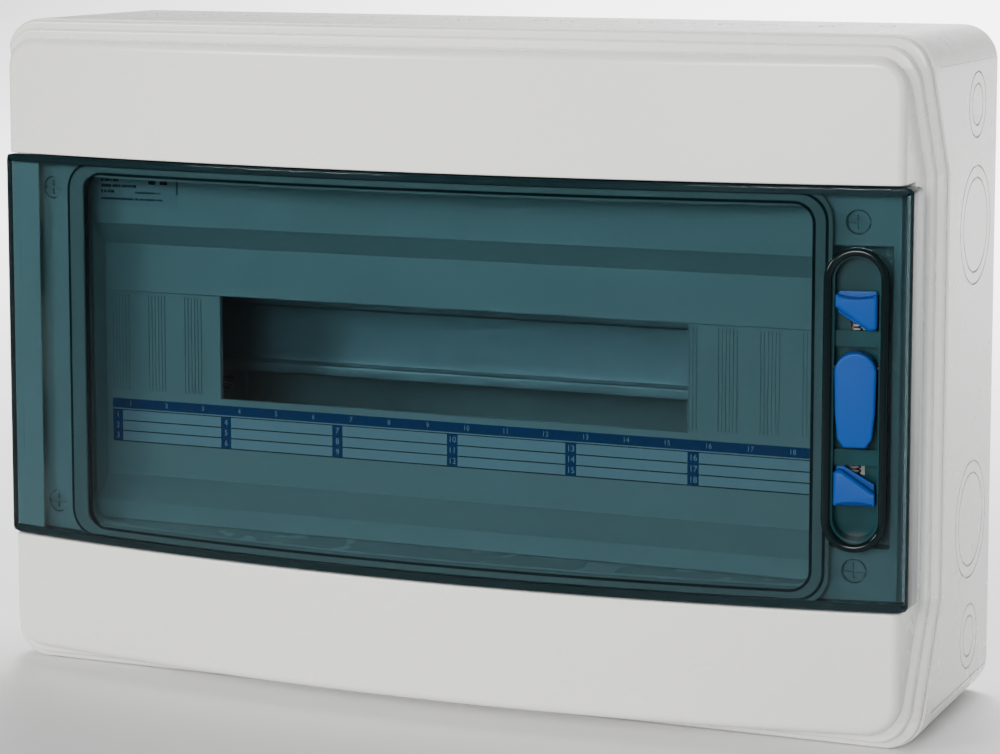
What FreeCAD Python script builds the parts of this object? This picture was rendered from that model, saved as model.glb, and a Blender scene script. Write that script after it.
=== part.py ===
"""Surface-mounted distribution board enclosure with a tinted, hinged door.

Millimetres. +X is to the right, +Z is up and the front faces -Y. The origin is the centre of the
back face, so the wall is the plane y = 0 and the front of the bowed cover is at y = -DEPTH.
Every function makes one piece, or one group of identical fasteners, as its own STEP file.
"""
import FreeCAD, Part
import math
import os

V = FreeCAD.Vector

# ---- driving dimensions ------------------------------------------------------------------------
WIDTH, HEIGHT, DEPTH = 420.0, 287.0, 140.0
WALL = 3.0
MODULE = 18.0                 # one breaker place on the rail
PLACES = 18                   # places across the cut-out
BLANKED = 3                   # places blanked at each end
CLEAR = 0.3                   # gap between neighbouring pieces

BOX_CORNER_R, BACK_EDGE_R = 15.0, 1.5
COVER_W, COVER_H = 406.0, 271.0        # the cover's front, inside the stepped rim
COVER_CORNER_R = 13.0
BOW = 21.3                    # how far the front curves back at each side
FRONT_EDGE_R, STEP_EDGE_R, RECESS_EDGE_R = 4.0, 1.4, 0.8

RIM_TOP_Y = -103.0            # the joint line between box and cover, at the top and bottom
RIM_SIDE_Y = -76.0            # the same line, half way up the sides
RIM_KNEE_Z = 86.0             # where the side line starts to slope forward
RIM_END_Z = 131.0             # where the slope reaches the top line
RIM_STEPS = ((418.0, 286.0, 14.5, 5.0), (412.0, 279.0, 14.0, 11.0))   # width, height, radius, lead

DOOR_H = 169.4                # full height of the door
DOOR_T = 3.0
DOOR_LEFT, DOOR_RIGHT = -205.2, 203.0
DOOR_RETURN_Y = -103.1        # rear edge of the door's right-hand return
RECESS_FLOOR = 9.0            # the cover's face behind the door, below the bow
FLOOR_T = 2.5

WINDOW_W, WINDOW_H, WINDOW_R = 334.0, 153.0, 7.5
LIP_T = 3.0                   # raised lip around the window
LIP_TOP = 5.8                 # the lip's front, below the bow
PANEL_BACK_Y = -98.0          # the rear of the window's tunnel

PANEL_Y = -110.0              # the device panel's upper face
PANEL_SUNK_Y = -100.0         # its sunk face, around the breakers
PANEL_T = 2.0
SUNK_TOP_Z, SUNK_BOTTOM_Z = 45.0, -58.0
CUT_TOP_Z, CUT_BOTTOM_Z = 24.0, -21.5
LABEL_TOP_Z, LABEL_BOTTOM_Z = -24.2, -43.4

RAIL_FRONT_Y = -54.0
RAIL_LENGTH = 364.0
RAIL_Z = (CUT_TOP_Z + CUT_BOTTOM_Z) / 2
SUPPORT_X = 150.0

HINGE_X, HINGE_Y = -198.5, -112.0
HINGE_PIN_R, KNUCKLE_R, BORE_CLEAR = 2.0, 4.0, 0.05
KNUCKLE_Z, KNUCKLE_LENGTH, LUG_T, LUG_HALF = 37.5, 21.0, 5.5, 3.0
POCKET_X = -191.5             # inner wall of the hinge pocket
POCKET_Y = -101.5             # its floor

LATCH_X = 185.0
LATCH_W, LATCH_H = 24.0, 119.5         # the raised collar round the latch window
LATCH_HOLE_W, LATCH_HOLE_H = 19.4, 115.0
LATCH_DEPTH = 13.5
SLIDER_W, SLIDER_T = 16.6, 6.8
SLIDER_TRAVEL = 5.0
SLIDER_BASE_LOW, SLIDER_BASE_HIGH = 27.0, 43.0    # the plate behind each slider's wedge
SPRING_DEPTH = 9.6            # the middle of each spring, behind the door's front
PADDLE_T = 7.8
PADDLE_PIN_Z, PADDLE_PIN_Y = 12.5, 5.5
LATCH_WELL = (171.0, 196.8, 60.6, -102.3)   # low x, high x, half height and floor of its well

COVER_SCREW_X, COVER_SCREW_Z = 183.0, 70.0
WALL_HOLE_X, WALL_HOLE_Z, WALL_HOLE_R = 165.0, 110.0, 3.0

BOW_R = ((COVER_W / 2) ** 2 + BOW ** 2) / (2 * BOW)


# ---- helpers -----------------------------------------------------------------------------------
def box(x0, x1, y0, y1, z0, z1):
    """A block between two corners."""
    return Part.makeBox(x1 - x0, y1 - y0, z1 - z0, V(x0, y0, z0))


def cylinder_y(x, z, r, y0, y1):
    """A round bar that lies along Y."""
    return Part.makeCylinder(r, y1 - y0, V(x, y0, z), V(0, 1, 0))


def cylinder_z(x, y, r, z0, z1):
    """A round bar that stands along Z."""
    return Part.makeCylinder(r, z1 - z0, V(x, y, z0), V(0, 0, 1))


def rounded(width, height, r, y0, y1, x=0.0, z=0.0):
    """A rectangle with round corners in the XZ plane, drawn out along Y."""
    a, b = width / 2, height / 2
    k = r * (1 - math.sqrt(0.5))
    wire = Part.Wire([
        Part.LineSegment(V(x - a + r, y0, z - b), V(x + a - r, y0, z - b)).toShape(),
        Part.Arc(V(x + a - r, y0, z - b), V(x + a - k, y0, z - b + k), V(x + a, y0, z - b + r)).toShape(),
        Part.LineSegment(V(x + a, y0, z - b + r), V(x + a, y0, z + b - r)).toShape(),
        Part.Arc(V(x + a, y0, z + b - r), V(x + a - k, y0, z + b - k), V(x + a - r, y0, z + b)).toShape(),
        Part.LineSegment(V(x + a - r, y0, z + b), V(x - a + r, y0, z + b)).toShape(),
        Part.Arc(V(x - a + r, y0, z + b), V(x - a + k, y0, z + b - k), V(x - a, y0, z + b - r)).toShape(),
        Part.LineSegment(V(x - a, y0, z + b - r), V(x - a, y0, z - b + r)).toShape(),
        Part.Arc(V(x - a, y0, z - b + r), V(x - a + k, y0, z - b + k), V(x - a + r, y0, z - b)).toShape(),
    ])
    return Part.Face(wire).extrude(V(0, y1 - y0, 0))


def obround(width, height, y0, y1):
    """A slot shape that stands on end, drawn out along Y."""
    return rounded(width, height, width / 2 - 0.001, y0, y1)


def bow_y(x, below=0.0):
    """The bowed front's y at a given x, or that of a surface some way below it."""
    return -DEPTH + BOW_R - math.sqrt((BOW_R - below) ** 2 - x * x)


def behind_bow(below, x0, x1, z0, z1, back=1.0):
    """Everything behind the bowed front, or behind a surface some way below it."""
    middle = (x0 + x1) / 2
    ends = V(x0, bow_y(x0, below), z0), V(x1, bow_y(x1, below), z0)
    wire = Part.Wire([
        Part.Arc(ends[0], V(middle, bow_y(middle, below), z0), ends[1]).toShape(),
        Part.LineSegment(ends[1], V(x1, back, z0)).toShape(),
        Part.LineSegment(V(x1, back, z0), V(x0, back, z0)).toShape(),
        Part.LineSegment(V(x0, back, z0), ends[0]).toShape(),
    ])
    return Part.Face(wire).extrude(V(0, 0, z1 - z0))


def skin(outer, inner, x0, x1, z0, z1):
    """The curved sheet between two depths below the bowed front."""
    return behind_bow(outer, x0, x1, z0, z1).cut(behind_bow(inner, x0 - 1, x1 + 1, z0 - 1, z1 + 1))


def polygon(points, direction):
    """A closed outline of 3D points, drawn out along a direction."""
    return Part.Face(Part.makePolygon(points + [points[0]])).extrude(direction)


def behind_rim(lead=0.0):
    """Everything behind the joint line: a straight top and bottom, and sides that dip back."""
    top, side = RIM_TOP_Y - lead, RIM_SIDE_Y - lead
    reach, half = HEIGHT, WIDTH
    outline = [(1, -reach), (top, -reach), (top, -RIM_END_Z), (side, -RIM_KNEE_Z),
               (side, RIM_KNEE_Z), (top, RIM_END_Z), (top, reach), (1, reach)]
    return polygon([V(-half, y, z) for y, z in outline], V(2 * half, 0, 0))


def ring(outer, inner):
    """One rounded prism with another taken out of it."""
    return outer.cut(inner)


def union(shapes):
    """Several solids as one, with the seams between them removed."""
    return shapes[0].multiFuse(shapes[1:]).removeSplitter()


def fillet(shape, radius, wanted):
    """Round the edges that a test picks, in smaller and smaller radii until one succeeds."""
    edges = [edge for edge in shape.Edges if wanted(edge)]
    for size in (radius, radius * 0.75, radius * 0.5):
        try:
            done = shape.makeFillet(size, edges)
        except Part.OCCError:
            continue
        if done.isValid() and done.Solids:
            return done
    print("no fillet of", radius)
    return shape


def export(node, shapes):
    """Write a node's solids and print what they are."""
    solids = [solid for shape in shapes for solid in shape.Solids]
    whole = solids[0] if len(solids) == 1 else Part.makeCompound(solids)
    whole.exportStep("parts/%s.step" % node)
    size = whole.BoundBox
    print("%-22s %2d solid  %7.1f cm3  valid %s  x %.1f..%.1f y %.1f..%.1f z %.1f..%.1f" % (
        node, len(solids), whole.Volume / 1000, whole.isValid(),
        size.XMin, size.XMax, size.YMin, size.YMax, size.ZMin, size.ZMax))


# ---- the fixed housing -------------------------------------------------------------------------
def knockout(position, direction, r, rings):
    """The grooves that weaken a wall round a cable entry, as solids to cut away."""
    groove, depth = 0.8, 0.9
    start = position - direction * depth
    tools = []
    for i in range(rings):
        outer = Part.makeCylinder(r - 5 * i, 2 * depth, start, direction)
        tools.append(outer.cut(Part.makeCylinder(r - 5 * i - groove, 2 * depth, start, direction)))
    return tools


def cable_entries():
    """Every knock-out: nine in the top, nine in the bottom and four in each side."""
    row = [(0, 20.0), (40, 12.5), (76, 12.5), (112, 12.5), (160, 16.0)]
    tools = []
    for up in (-1, 1):
        for offset, r in row:
            for sign in (-1, 1) if offset else (1,):
                tools += knockout(V(sign * offset, -40, up * HEIGHT / 2), V(0, 0, up), r, 2)
    for right in (-1, 1):
        for z, r in ((-112, 14.0), (-62, 25.0), (62, 25.0), (112, 14.0)):
            tools += knockout(V(right * WIDTH / 2, -34, z), V(right, 0, 0), r, 2)
    return tools


def side_grooves():
    """The thin line along each side wall where the round corner begins."""
    depth, width = 0.5, 0.7
    z = HEIGHT / 2 - BOX_CORNER_R + 2
    return [box(x - depth, x + depth, -93, 1, sign * z - width / 2, sign * z + width / 2)
            for x in (-WIDTH / 2, WIDTH / 2) for sign in (-1, 1)]


def back_box():
    """The rear shell, with its cable entries, cover screw posts and wall screw holes."""
    outer = rounded(WIDTH, HEIGHT, BOX_CORNER_R, RIM_TOP_Y, 0)
    inner = rounded(WIDTH - 2 * WALL, HEIGHT - 2 * WALL, BOX_CORNER_R - WALL, RIM_TOP_Y - 1, -WALL)
    outer = fillet(outer, BACK_EDGE_R, lambda edge: edge.BoundBox.YMin > -0.01)
    shell = outer.cut(inner).common(behind_rim())
    post_front, post_r, pilot_r = RIM_SIDE_Y - 1, 6.0, 2.0
    posts, pilots = [], []
    for x in (-COVER_SCREW_X, COVER_SCREW_X):
        for z in (-COVER_SCREW_Z, COVER_SCREW_Z):
            posts.append(cylinder_y(x, z, post_r, post_front, -WALL + 0.5))
            pilots.append(cylinder_y(x, z, pilot_r, post_front - 1, post_front + 16))
    holes = [cylinder_y(x, z, WALL_HOLE_R, -WALL - 1, 1)
             for x in (-WALL_HOLE_X, WALL_HOLE_X) for z in (-WALL_HOLE_Z, WALL_HOLE_Z)]
    for x in (-SUPPORT_X, SUPPORT_X):
        for z in (-30, 30):
            posts.append(cylinder_y(x, RAIL_Z + z, 5.0, -12, -WALL + 0.5))
            pilots.append(cylinder_y(x, RAIL_Z + z, 1.5, -13, -4))
    shell = union([shell] + posts)
    return shell.cut(pilots + holes + cable_entries() + side_grooves())


def door_space(grow):
    """The space in the cover that the door takes up, grown on every side by a wall's thickness."""
    half = DOOR_H / 2 + 0.5 + grow
    front = box(-WIDTH, WIDTH, -DEPTH - 5, 0, -half, half)
    face = front.cut(behind_bow(RECESS_FLOOR + grow, -WIDTH / 2 - 5, WIDTH / 2 + 5, -half - 1, half + 1))
    right = box(DOOR_RIGHT - DOOR_T - CLEAR - grow, WIDTH, -DEPTH - 5, DOOR_RETURN_Y + CLEAR + grow,
                -half, half)
    left = box(-WIDTH, POCKET_X + grow, -DEPTH - 5, POCKET_Y + grow, -half, half)
    x0, x1, high, floor = LATCH_WELL
    well = box(x0 - grow, x1 + grow, -DEPTH - 5, floor + grow, -high - grow, high + grow)
    return [face, right, left, well]


def window_tunnel():
    """The lip round the window and the tunnel behind it that holds the device panel."""
    lip = ring(rounded(WINDOW_W + 9.2, WINDOW_H + 9, WINDOW_R + 4.5, -DEPTH, -118),
               rounded(WINDOW_W + 9.2 - 2 * LIP_T, WINDOW_H + 9 - 2 * LIP_T, WINDOW_R + 1.5, -DEPTH - 1, 0))
    lip = lip.common(behind_bow(LIP_TOP, -WIDTH / 2, WIDTH / 2, -HEIGHT, HEIGHT))
    tunnel = ring(rounded(WINDOW_W + 2 * LIP_T, WINDOW_H + 2 * LIP_T, WINDOW_R + LIP_T, -DEPTH, PANEL_BACK_Y),
                  rounded(WINDOW_W, WINDOW_H, WINDOW_R, -DEPTH - 1, 0))
    tunnel = tunnel.common(behind_bow(RECESS_FLOOR, -WIDTH / 2, WIDTH / 2, -HEIGHT, HEIGHT))
    return lip, tunnel


def hinge_lugs():
    """The ears in the hinge pocket that the two hinge pins go through."""
    lugs, bores = [], []
    for centre in (-KNUCKLE_Z, KNUCKLE_Z):
        for sign in (-1, 1):
            middle = centre + sign * (KNUCKLE_LENGTH / 2 + 0.4 + LUG_T / 2)
            z0, z1 = middle - LUG_T / 2, middle + LUG_T / 2
            lugs.append(cylinder_z(HINGE_X, HINGE_Y, KNUCKLE_R, z0, z1))
            lugs.append(box(HINGE_X, POCKET_X + 1, HINGE_Y - LUG_HALF, HINGE_Y + LUG_HALF, z0, z1))
            bores.append(cylinder_z(HINGE_X, HINGE_Y, HINGE_PIN_R, z0 - 1, z1 + 1))
    return lugs, bores


def cover_outside():
    """The cover's outer shape: the bowed front inside a rim of two steps."""
    half = COVER_H / 2
    front = rounded(COVER_W, COVER_H, COVER_CORNER_R, -DEPTH - 5, RIM_SIDE_Y + 20)
    front = front.common(behind_bow(0, -WIDTH / 2, WIDTH / 2, -half - 5, half + 5))
    limit = -DEPTH + BOW + 0.5
    front = fillet(front, FRONT_EDGE_R, lambda edge: edge.BoundBox.YMax < limit)
    steps = []
    for w, h, r, lead in RIM_STEPS:
        step = rounded(w, h, r, -DEPTH, 0).common(behind_rim(lead))
        steps.append(fillet(step, STEP_EDGE_R, lambda edge: edge.BoundBox.YMax < RIM_SIDE_Y + 1))
    return union([front] + steps)


def is_recess_edge(edge):
    """True for an edge where the cover's outside turns in to the door's recess."""
    bound = edge.BoundBox
    level = bound.ZLength < 0.01 and abs(abs(bound.ZMin) - DOOR_H / 2 - 0.5) < 0.01
    across_front = bound.XLength > 5 and bound.YMax < bow_y(POCKET_X) + 2
    round_corner = 3.0 < bound.XLength < 3.5 and bound.YLength > 3.5
    along_side = bound.XLength < 0.05 and abs(bound.XMin) > COVER_W / 2 - 0.1
    return level and (across_front or round_corner or along_side)


def front_cover():
    """The cover: a hollow hood with a recess for the door and a framed window."""
    gap = 1.2
    outer = cover_outside().cut(behind_rim(gap)).cut(door_space(0))
    outer = fillet(outer, RECESS_EDGE_R, is_recess_edge)
    inside_w, inside_h = COVER_W - 2 * WALL, COVER_H - 2 * WALL
    cavity = rounded(inside_w, inside_h, COVER_CORNER_R - WALL, -DEPTH, 0)
    cavity = cavity.common(behind_bow(WALL, -WIDTH / 2, WIDTH / 2, -HEIGHT, HEIGHT))
    cavity = cavity.cut(door_space(FLOOR_T))
    lip, tunnel = window_tunnel()
    window = rounded(WINDOW_W, WINDOW_H, WINDOW_R, -DEPTH - 1, 0)
    cover = outer.cut([cavity, window])
    lugs, bores = hinge_lugs()
    bosses, screw_holes = [], []
    for x in (-COVER_SCREW_X, COVER_SCREW_X):
        front = bow_y(abs(x), RECESS_FLOOR)
        for z in (-COVER_SCREW_Z, COVER_SCREW_Z):
            bosses.append(cylinder_y(x, z, 6.5, front + 1.5, RIM_SIDE_Y - 1 - CLEAR))
            screw_holes.append(cylinder_y(x, z, 2.7, front - 6, 0))
            screw_holes.append(cylinder_y(x, z, 5.0, front - 6, front + 4))
    cover = union([cover, tunnel, lip] + lugs + bosses)
    well = door_space(0)[3]
    return cover.cut(bores + screw_holes + [well])


def cover_gasket():
    """The seal between the box and the cover, which follows the joint line all round."""
    outer = rounded(WIDTH - 3, HEIGHT - 3, BOX_CORNER_R - 1.5, -DEPTH, 0)
    inner = rounded(WIDTH - 5.6, HEIGHT - 5.6, BOX_CORNER_R - 2.8, -DEPTH - 1, 1)
    return outer.cut(inner).common(behind_rim(1.1)).cut(behind_rim(0.1))


def cover_screws():
    """Four screws that hold the cover, reached once the door is open."""
    screws = []
    for x in (-COVER_SCREW_X, COVER_SCREW_X):
        seat = bow_y(abs(x), RECESS_FLOOR) + 4
        for z in (-COVER_SCREW_Z, COVER_SCREW_Z):
            head = cylinder_y(x, z, 4.5, seat - 3.2, seat)
            shank = cylinder_y(x, z, 1.95, seat - 0.5, RIM_SIDE_Y + 10)
            slot = box(x - 6, x + 6, seat - 4, seat - 1.8, z - 0.6, z + 0.6)
            cross = box(x - 0.6, x + 0.6, seat - 4, seat - 1.8, z - 3, z + 3)
            screws.append(head.fuse(shank).cut([slot, cross]))
    return screws


# ---- inside the window -------------------------------------------------------------------------
def device_panel():
    """The touch guard: a plate with a sunk middle and a cut-out for the breakers."""
    half_w, half_h = WINDOW_W / 2 - CLEAR, WINDOW_H / 2 - CLEAR
    slope = PANEL_SUNK_Y - PANEL_Y
    front = [(PANEL_Y, half_h), (PANEL_Y, SUNK_TOP_Z + slope), (PANEL_SUNK_Y, SUNK_TOP_Z),
             (PANEL_SUNK_Y, SUNK_BOTTOM_Z), (PANEL_Y, SUNK_BOTTOM_Z - slope), (PANEL_Y, -half_h)]
    back = [(y + PANEL_T, z) for y, z in reversed(front)]
    plate = polygon([V(-half_w, y, z) for y, z in front + back], V(2 * half_w, 0, 0))
    frame = ring(rounded(2 * half_w, 2 * half_h, WINDOW_R - CLEAR, PANEL_Y, PANEL_SUNK_Y + PANEL_T),
                 rounded(2 * half_w - 3, 2 * half_h - 3, WINDOW_R - 1.8, -DEPTH, 0))
    limits = rounded(2 * half_w, 2 * half_h, WINDOW_R - CLEAR, -DEPTH, 0)
    panel = union([plate.common(limits), frame])
    cut_half = PLACES * MODULE / 2
    return panel.cut(box(-cut_half, cut_half, -DEPTH, 0, CUT_BOTTOM_Z, CUT_TOP_Z))


def blanking_strip(x0, x1, groups):
    """A snap-in cover for unused places, grooved so that it can be broken to length."""
    face_y, slack = PANEL_SUNK_Y - 0.8, 0.15
    z0, z1 = CUT_BOTTOM_Z, CUT_TOP_Z
    face = box(x0, x1, face_y, face_y + 2.6, z0 + slack, z1 - slack)
    legs = [box(x0 + 2, x1 - 2, face_y + 2, PANEL_SUNK_Y + PANEL_T + 4, z, z + 1.2)
            for z in (z0 + slack, z1 - slack - 1.2)]
    catches = [box(x0 + 6, x1 - 6, PANEL_SUNK_Y + PANEL_T + CLEAR, PANEL_SUNK_Y + PANEL_T + 2, low, low + 2)
               for low in (z0 - 1, z1 - 1)]
    grooves = []
    for start, count in groups:
        for i in range(count):
            x = start + 1.6 * i
            grooves.append(box(x, x + 0.6, face_y - 1, face_y + 0.6, z0 + 1.5, z1 - 1.5))
    return union([face] + legs + catches).cut(grooves)


def blanking_strip_left():
    """Blanks the first three places."""
    x0 = -PLACES * MODULE / 2
    return blanking_strip(x0 + 0.2, x0 + BLANKED * MODULE,
                          [(x0 + 0.6 + MODULE * i, 6) for i in range(BLANKED)])


def blanking_strip_right():
    """Blanks the last three places; it was broken off through a group of grooves."""
    x1 = PLACES * MODULE / 2
    x0 = x1 - BLANKED * MODULE
    return blanking_strip(x0, x1 - 0.2, [(x0 + 0.4, 3), (x0 + 13, 6), (x0 + 31, 6), (x0 + 49, 3)])


def label_card():
    """The printed card that names the circuits, under the cut-out."""
    half = PLACES * MODULE / 2
    return box(-half, half, PANEL_SUNK_Y - 0.6, PANEL_SUNK_Y, LABEL_BOTTOM_Z, LABEL_TOP_Z)


def rating_plate():
    """The maker's data label, left blank, at the panel's upper left."""
    return rounded(41, 12.5, 1.0, PANEL_Y - 0.3, PANEL_Y, x=-143.5, z=69.0)


# ---- rail and terminals ------------------------------------------------------------------------
def din_rail():
    """A plain top-hat mounting rail, 35 mm by 7.5 mm, with a screw hole near each end."""
    t, web, depth, wide = 1.0, 25.0, 7.5, 35.0
    front, back = RAIL_FRONT_Y, RAIL_FRONT_Y + depth
    half = RAIL_LENGTH / 2
    parts = [box(-half, half, back - t, back, RAIL_Z - web / 2 - t, RAIL_Z + web / 2 + t)]
    for sign in (-1, 1):
        near, far = sorted((RAIL_Z + sign * web / 2, RAIL_Z + sign * (web / 2 + t)))
        parts.append(box(-half, half, front, back, near, far))
        near, far = sorted((RAIL_Z + sign * web / 2, RAIL_Z + sign * wide / 2))
        parts.append(box(-half, half, front, front + t, near, far))
    holes = [cylinder_y(sign * SUPPORT_X, RAIL_Z, 2.2, back - 3, back + 1) for sign in (-1, 1)]
    return union(parts).cut(holes)


def rail_support(x):
    """A bridge that holds one end of the rail clear of the back wall."""
    top = RAIL_FRONT_Y + 7.5
    plate = box(x - 9, x + 9, top, top + 3, RAIL_Z - 20, RAIL_Z + 20)
    legs = [box(x - 9, x + 9, top, -12, *sorted((RAIL_Z + s * 17, RAIL_Z + s * 20))) for s in (-1, 1)]
    feet = [box(x - 9, x + 9, -15, -12, *sorted((RAIL_Z + s * 17, RAIL_Z + s * 37))) for s in (-1, 1)]
    nut = box(x - 5, x + 5, top, top + 9, RAIL_Z - 5, RAIL_Z + 5)
    holes = [cylinder_y(x, RAIL_Z + s * 30, 2.0, -16, -11) for s in (-1, 1)]
    return union([plate, nut] + legs + feet).cut(holes + [cylinder_y(x, RAIL_Z, 1.6, top - 1, top + 10)])


def machine_screw(x, z, seat, head_r, head_h, shank_r, length):
    """A cross-slot screw that faces the front, with its head resting at y = seat."""
    head = cylinder_y(x, z, head_r, seat - head_h, seat)
    shank = cylinder_y(x, z, shank_r, seat - 0.2, seat + length)
    arm = head_r * 0.6
    slots = [box(x - arm, x + arm, seat - head_h - 1, seat - head_h + 1, z - 0.35, z + 0.35),
             box(x - 0.35, x + 0.35, seat - head_h - 1, seat - head_h + 1, z - arm, z + arm)]
    return head.fuse(shank).cut(slots)


def rail_screws():
    """The two screws that clamp the rail to its supports."""
    seat = RAIL_FRONT_Y + 6.5
    return [machine_screw(sign * SUPPORT_X, RAIL_Z, seat, 3.8, 2.6, 1.55, 8) for sign in (-1, 1)]


def support_screws():
    """The four screws that hold the rail supports to the box."""
    return [machine_screw(x, RAIL_Z + z, -15, 3.4, 2.2, 1.45, 9.5)
            for x in (-SUPPORT_X, SUPPORT_X) for z in (-30, 30)]


TERMINAL_L, TERMINAL_PITCH, TERMINAL_WAYS = 132.0, 8.5, 15


def terminal_holder(z):
    """An insulating carrier with a channel along its front for a terminal bar."""
    half = TERMINAL_L / 2
    block = box(-half - 8, half + 8, -34, -WALL, z - 9, z + 9)
    channel = box(-half - 0.2, half + 0.2, -35, -22, z - 5.2, z + 5.2)
    pocket = [box(x - half / 2 + 6, x + half / 2 - 6, -17, -WALL + 1, z - 6.5, z + 6.5)
              for x in (-half / 2, half / 2)]
    return block.cut([channel] + pocket)


def terminal_ways():
    """Where each wire goes, along a terminal bar."""
    first = -TERMINAL_PITCH * (TERMINAL_WAYS - 1) / 2
    return [first + TERMINAL_PITCH * i for i in range(TERMINAL_WAYS)]


def terminal_bar(z):
    """A brass bar with a wire hole from above and a clamp screw from the front at each way."""
    half = TERMINAL_L / 2
    bar = box(-half, half, -32, -22, z - 5, z + 5)
    wires = [Part.makeCylinder(2.2, 20, V(x, -26.5, z - 10), V(0, 0, 1)) for x in terminal_ways()]
    screws = [cylinder_y(x, z, 1.8, -33, -26.5) for x in terminal_ways()]
    return bar.cut(wires + screws)


def terminal_screws(z):
    """The clamp screws of one terminal bar."""
    screws = []
    for x in terminal_ways():
        body = cylinder_y(x, z, 1.7, -33.2, -28.9)
        slot = box(x - 2, x + 2, -34, -32.2, z - 0.3, z + 0.3)
        screws.append(body.cut(slot))
    return screws


# ---- the door ----------------------------------------------------------------------------------
def at_latch(shape):
    """Turn a latch piece to face along the bowed front's normal and put it in its place."""
    tilt = math.degrees(math.asin(LATCH_X / BOW_R))
    shape.rotate(V(0, 0, 0), V(0, 0, 1), tilt)
    shape.translate(V(LATCH_X, bow_y(LATCH_X), 0))
    return shape


def door_ribs():
    """The two ribs behind the door that hold its seal, as far as they stand out."""
    ribs = []
    for grow, r in ((2.4, 7.5), (12.4, 12.0)):
        w, h = WINDOW_W + grow, WINDOW_H + grow - 1.4
        ribs.append(ring(rounded(w, h, r, -DEPTH, -100), rounded(w - 2.4, h - 2.4, r - 1.2, -DEPTH - 1, -99)))
    band = skin(DOOR_T - 0.5, 5.0, -WIDTH / 2, WIDTH / 2, -HEIGHT / 2, HEIGHT / 2)
    return [rib.common(band) for rib in ribs]


def door():
    """The tinted door: a bowed sheet with returned edges, seal ribs, hinge knuckles and a latch window."""
    half = DOOR_H / 2
    sheet = skin(0, DOOR_T, DOOR_LEFT, DOOR_RIGHT, -half, half)
    deep = behind_bow(DOOR_T - 0.5, DOOR_LEFT, DOOR_RIGHT, -half, half)
    right = box(DOOR_RIGHT - DOOR_T + 0.2, DOOR_RIGHT, -130, DOOR_RETURN_Y, -half, half).common(deep)
    left = box(DOOR_LEFT, DOOR_LEFT + 2.5, -130, HINGE_Y, -half, half).common(deep)
    lips = [skin(DOOR_T - 0.5, 8.0, DOOR_LEFT + 1, DOOR_RIGHT - 1, *sorted((s * half, s * (half - 2.2))))
            for s in (-1, 1)]
    shell = union([sheet, right, left] + lips)
    right_edge = fillet(shell, 4.0, lambda edge: is_front_upright(edge, DOOR_RIGHT))
    shell = fillet(right_edge, 3.0, lambda edge: is_front_upright(edge, DOOR_LEFT))
    knuckles, bores = [], []
    for centre in (-KNUCKLE_Z, KNUCKLE_Z):
        z0, z1 = centre - KNUCKLE_LENGTH / 2, centre + KNUCKLE_LENGTH / 2
        knuckles.append(cylinder_z(HINGE_X, HINGE_Y, KNUCKLE_R, z0, z1))
        web = box(HINGE_X - KNUCKLE_R, HINGE_X + 2, -130, HINGE_Y, z0, z1)
        knuckles.append(web.common(behind_bow(DOOR_T - 0.5, DOOR_LEFT, DOOR_RIGHT, z0, z1)))
        bores.append(cylinder_z(HINGE_X, HINGE_Y, HINGE_PIN_R + BORE_CLEAR, z0 - 1, z1 + 1))
    collar = at_latch(obround(LATCH_W, LATCH_H, -1.0, DOOR_T))
    hole = at_latch(obround(LATCH_HOLE_W, LATCH_HOLE_H, -9, 9))
    shell = union([shell, collar] + knuckles + door_ribs())
    return shell.cut(bores + [hole])


def is_front_upright(edge, x):
    """True for an upright edge at the front of the door, at one of its two ends."""
    bound = edge.BoundBox
    return (bound.ZLength > DOOR_H * 0.9 and abs(bound.XMin - x) < 0.5 and bound.XLength < 0.5
            and bound.YMax < bow_y(x) + 1)


def door_gasket():
    """The foam seal between the door's ribs, which meets the lip round the window."""
    outer_w, outer_h = WINDOW_W + 12.4 - 2.4 - 0.2, WINDOW_H + 11 - 2.4 - 0.2
    inner_w, inner_h = WINDOW_W + 2.4 + 0.2, WINDOW_H + 1 + 0.2
    shape = ring(rounded(outer_w, outer_h, 10.7, -DEPTH, -100), rounded(inner_w, inner_h, 7.6, -DEPTH - 1, -99))
    return shape.common(skin(DOOR_T, 5.5, -WIDTH / 2, WIDTH / 2, -HEIGHT / 2, HEIGHT / 2))


def hinge_pin(z):
    """A plain pin through a pair of ears and the door's knuckle."""
    reach = KNUCKLE_LENGTH / 2 + 0.4 + LUG_T
    return cylinder_z(HINGE_X, HINGE_Y, HINGE_PIN_R, z - reach, z + reach)


# ---- the latch ---------------------------------------------------------------------------------
# Latch pieces are drawn about the middle of the latch window: y = 0 is the door's front there.
SLOT_HALF = 3.2               # half the width of the slot that each slider's stem runs in
STEM_Z = 36.0


def latch_frame():
    """The tray behind the latch window, in which both sliders run and the paddle pivots."""
    flange = obround(21.6, 117.2, DOOR_T + 0.1, DOOR_T + 1.6)
    body = obround(20.4, 116.0, DOOR_T + 0.1, LATCH_DEPTH)
    hollow = obround(17.6, 113.2, DOOR_T - 1, LATCH_DEPTH - 1.8)
    tools = [hollow]
    for sign in (-1, 1):
        near, far = sorted((sign * (STEM_Z - SLIDER_TRAVEL - 4.5), sign * (STEM_Z + 4)))
        tools.append(box(-SLOT_HALF, SLOT_HALF, LATCH_DEPTH - 3, LATCH_DEPTH + 1, near, far))
    pin = Part.makeCylinder(1.2, 24, V(-12, PADDLE_PIN_Y, PADDLE_PIN_Z), V(1, 0, 0))
    stops = [box(-4, 4, 7.3, LATCH_DEPTH - 1, *sorted((s * 20.6, s * 22.0))) for s in (-1, 1)]
    shelves = [box(-9, 9, 7.05, 7.5, *sorted((s * 20.6, s * SLIDER_BASE_LOW))) for s in (-1, 1)]
    tray = union([flange, body]).cut(tools)
    return at_latch(union([tray] + stops + shelves).cut(pin))


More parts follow.
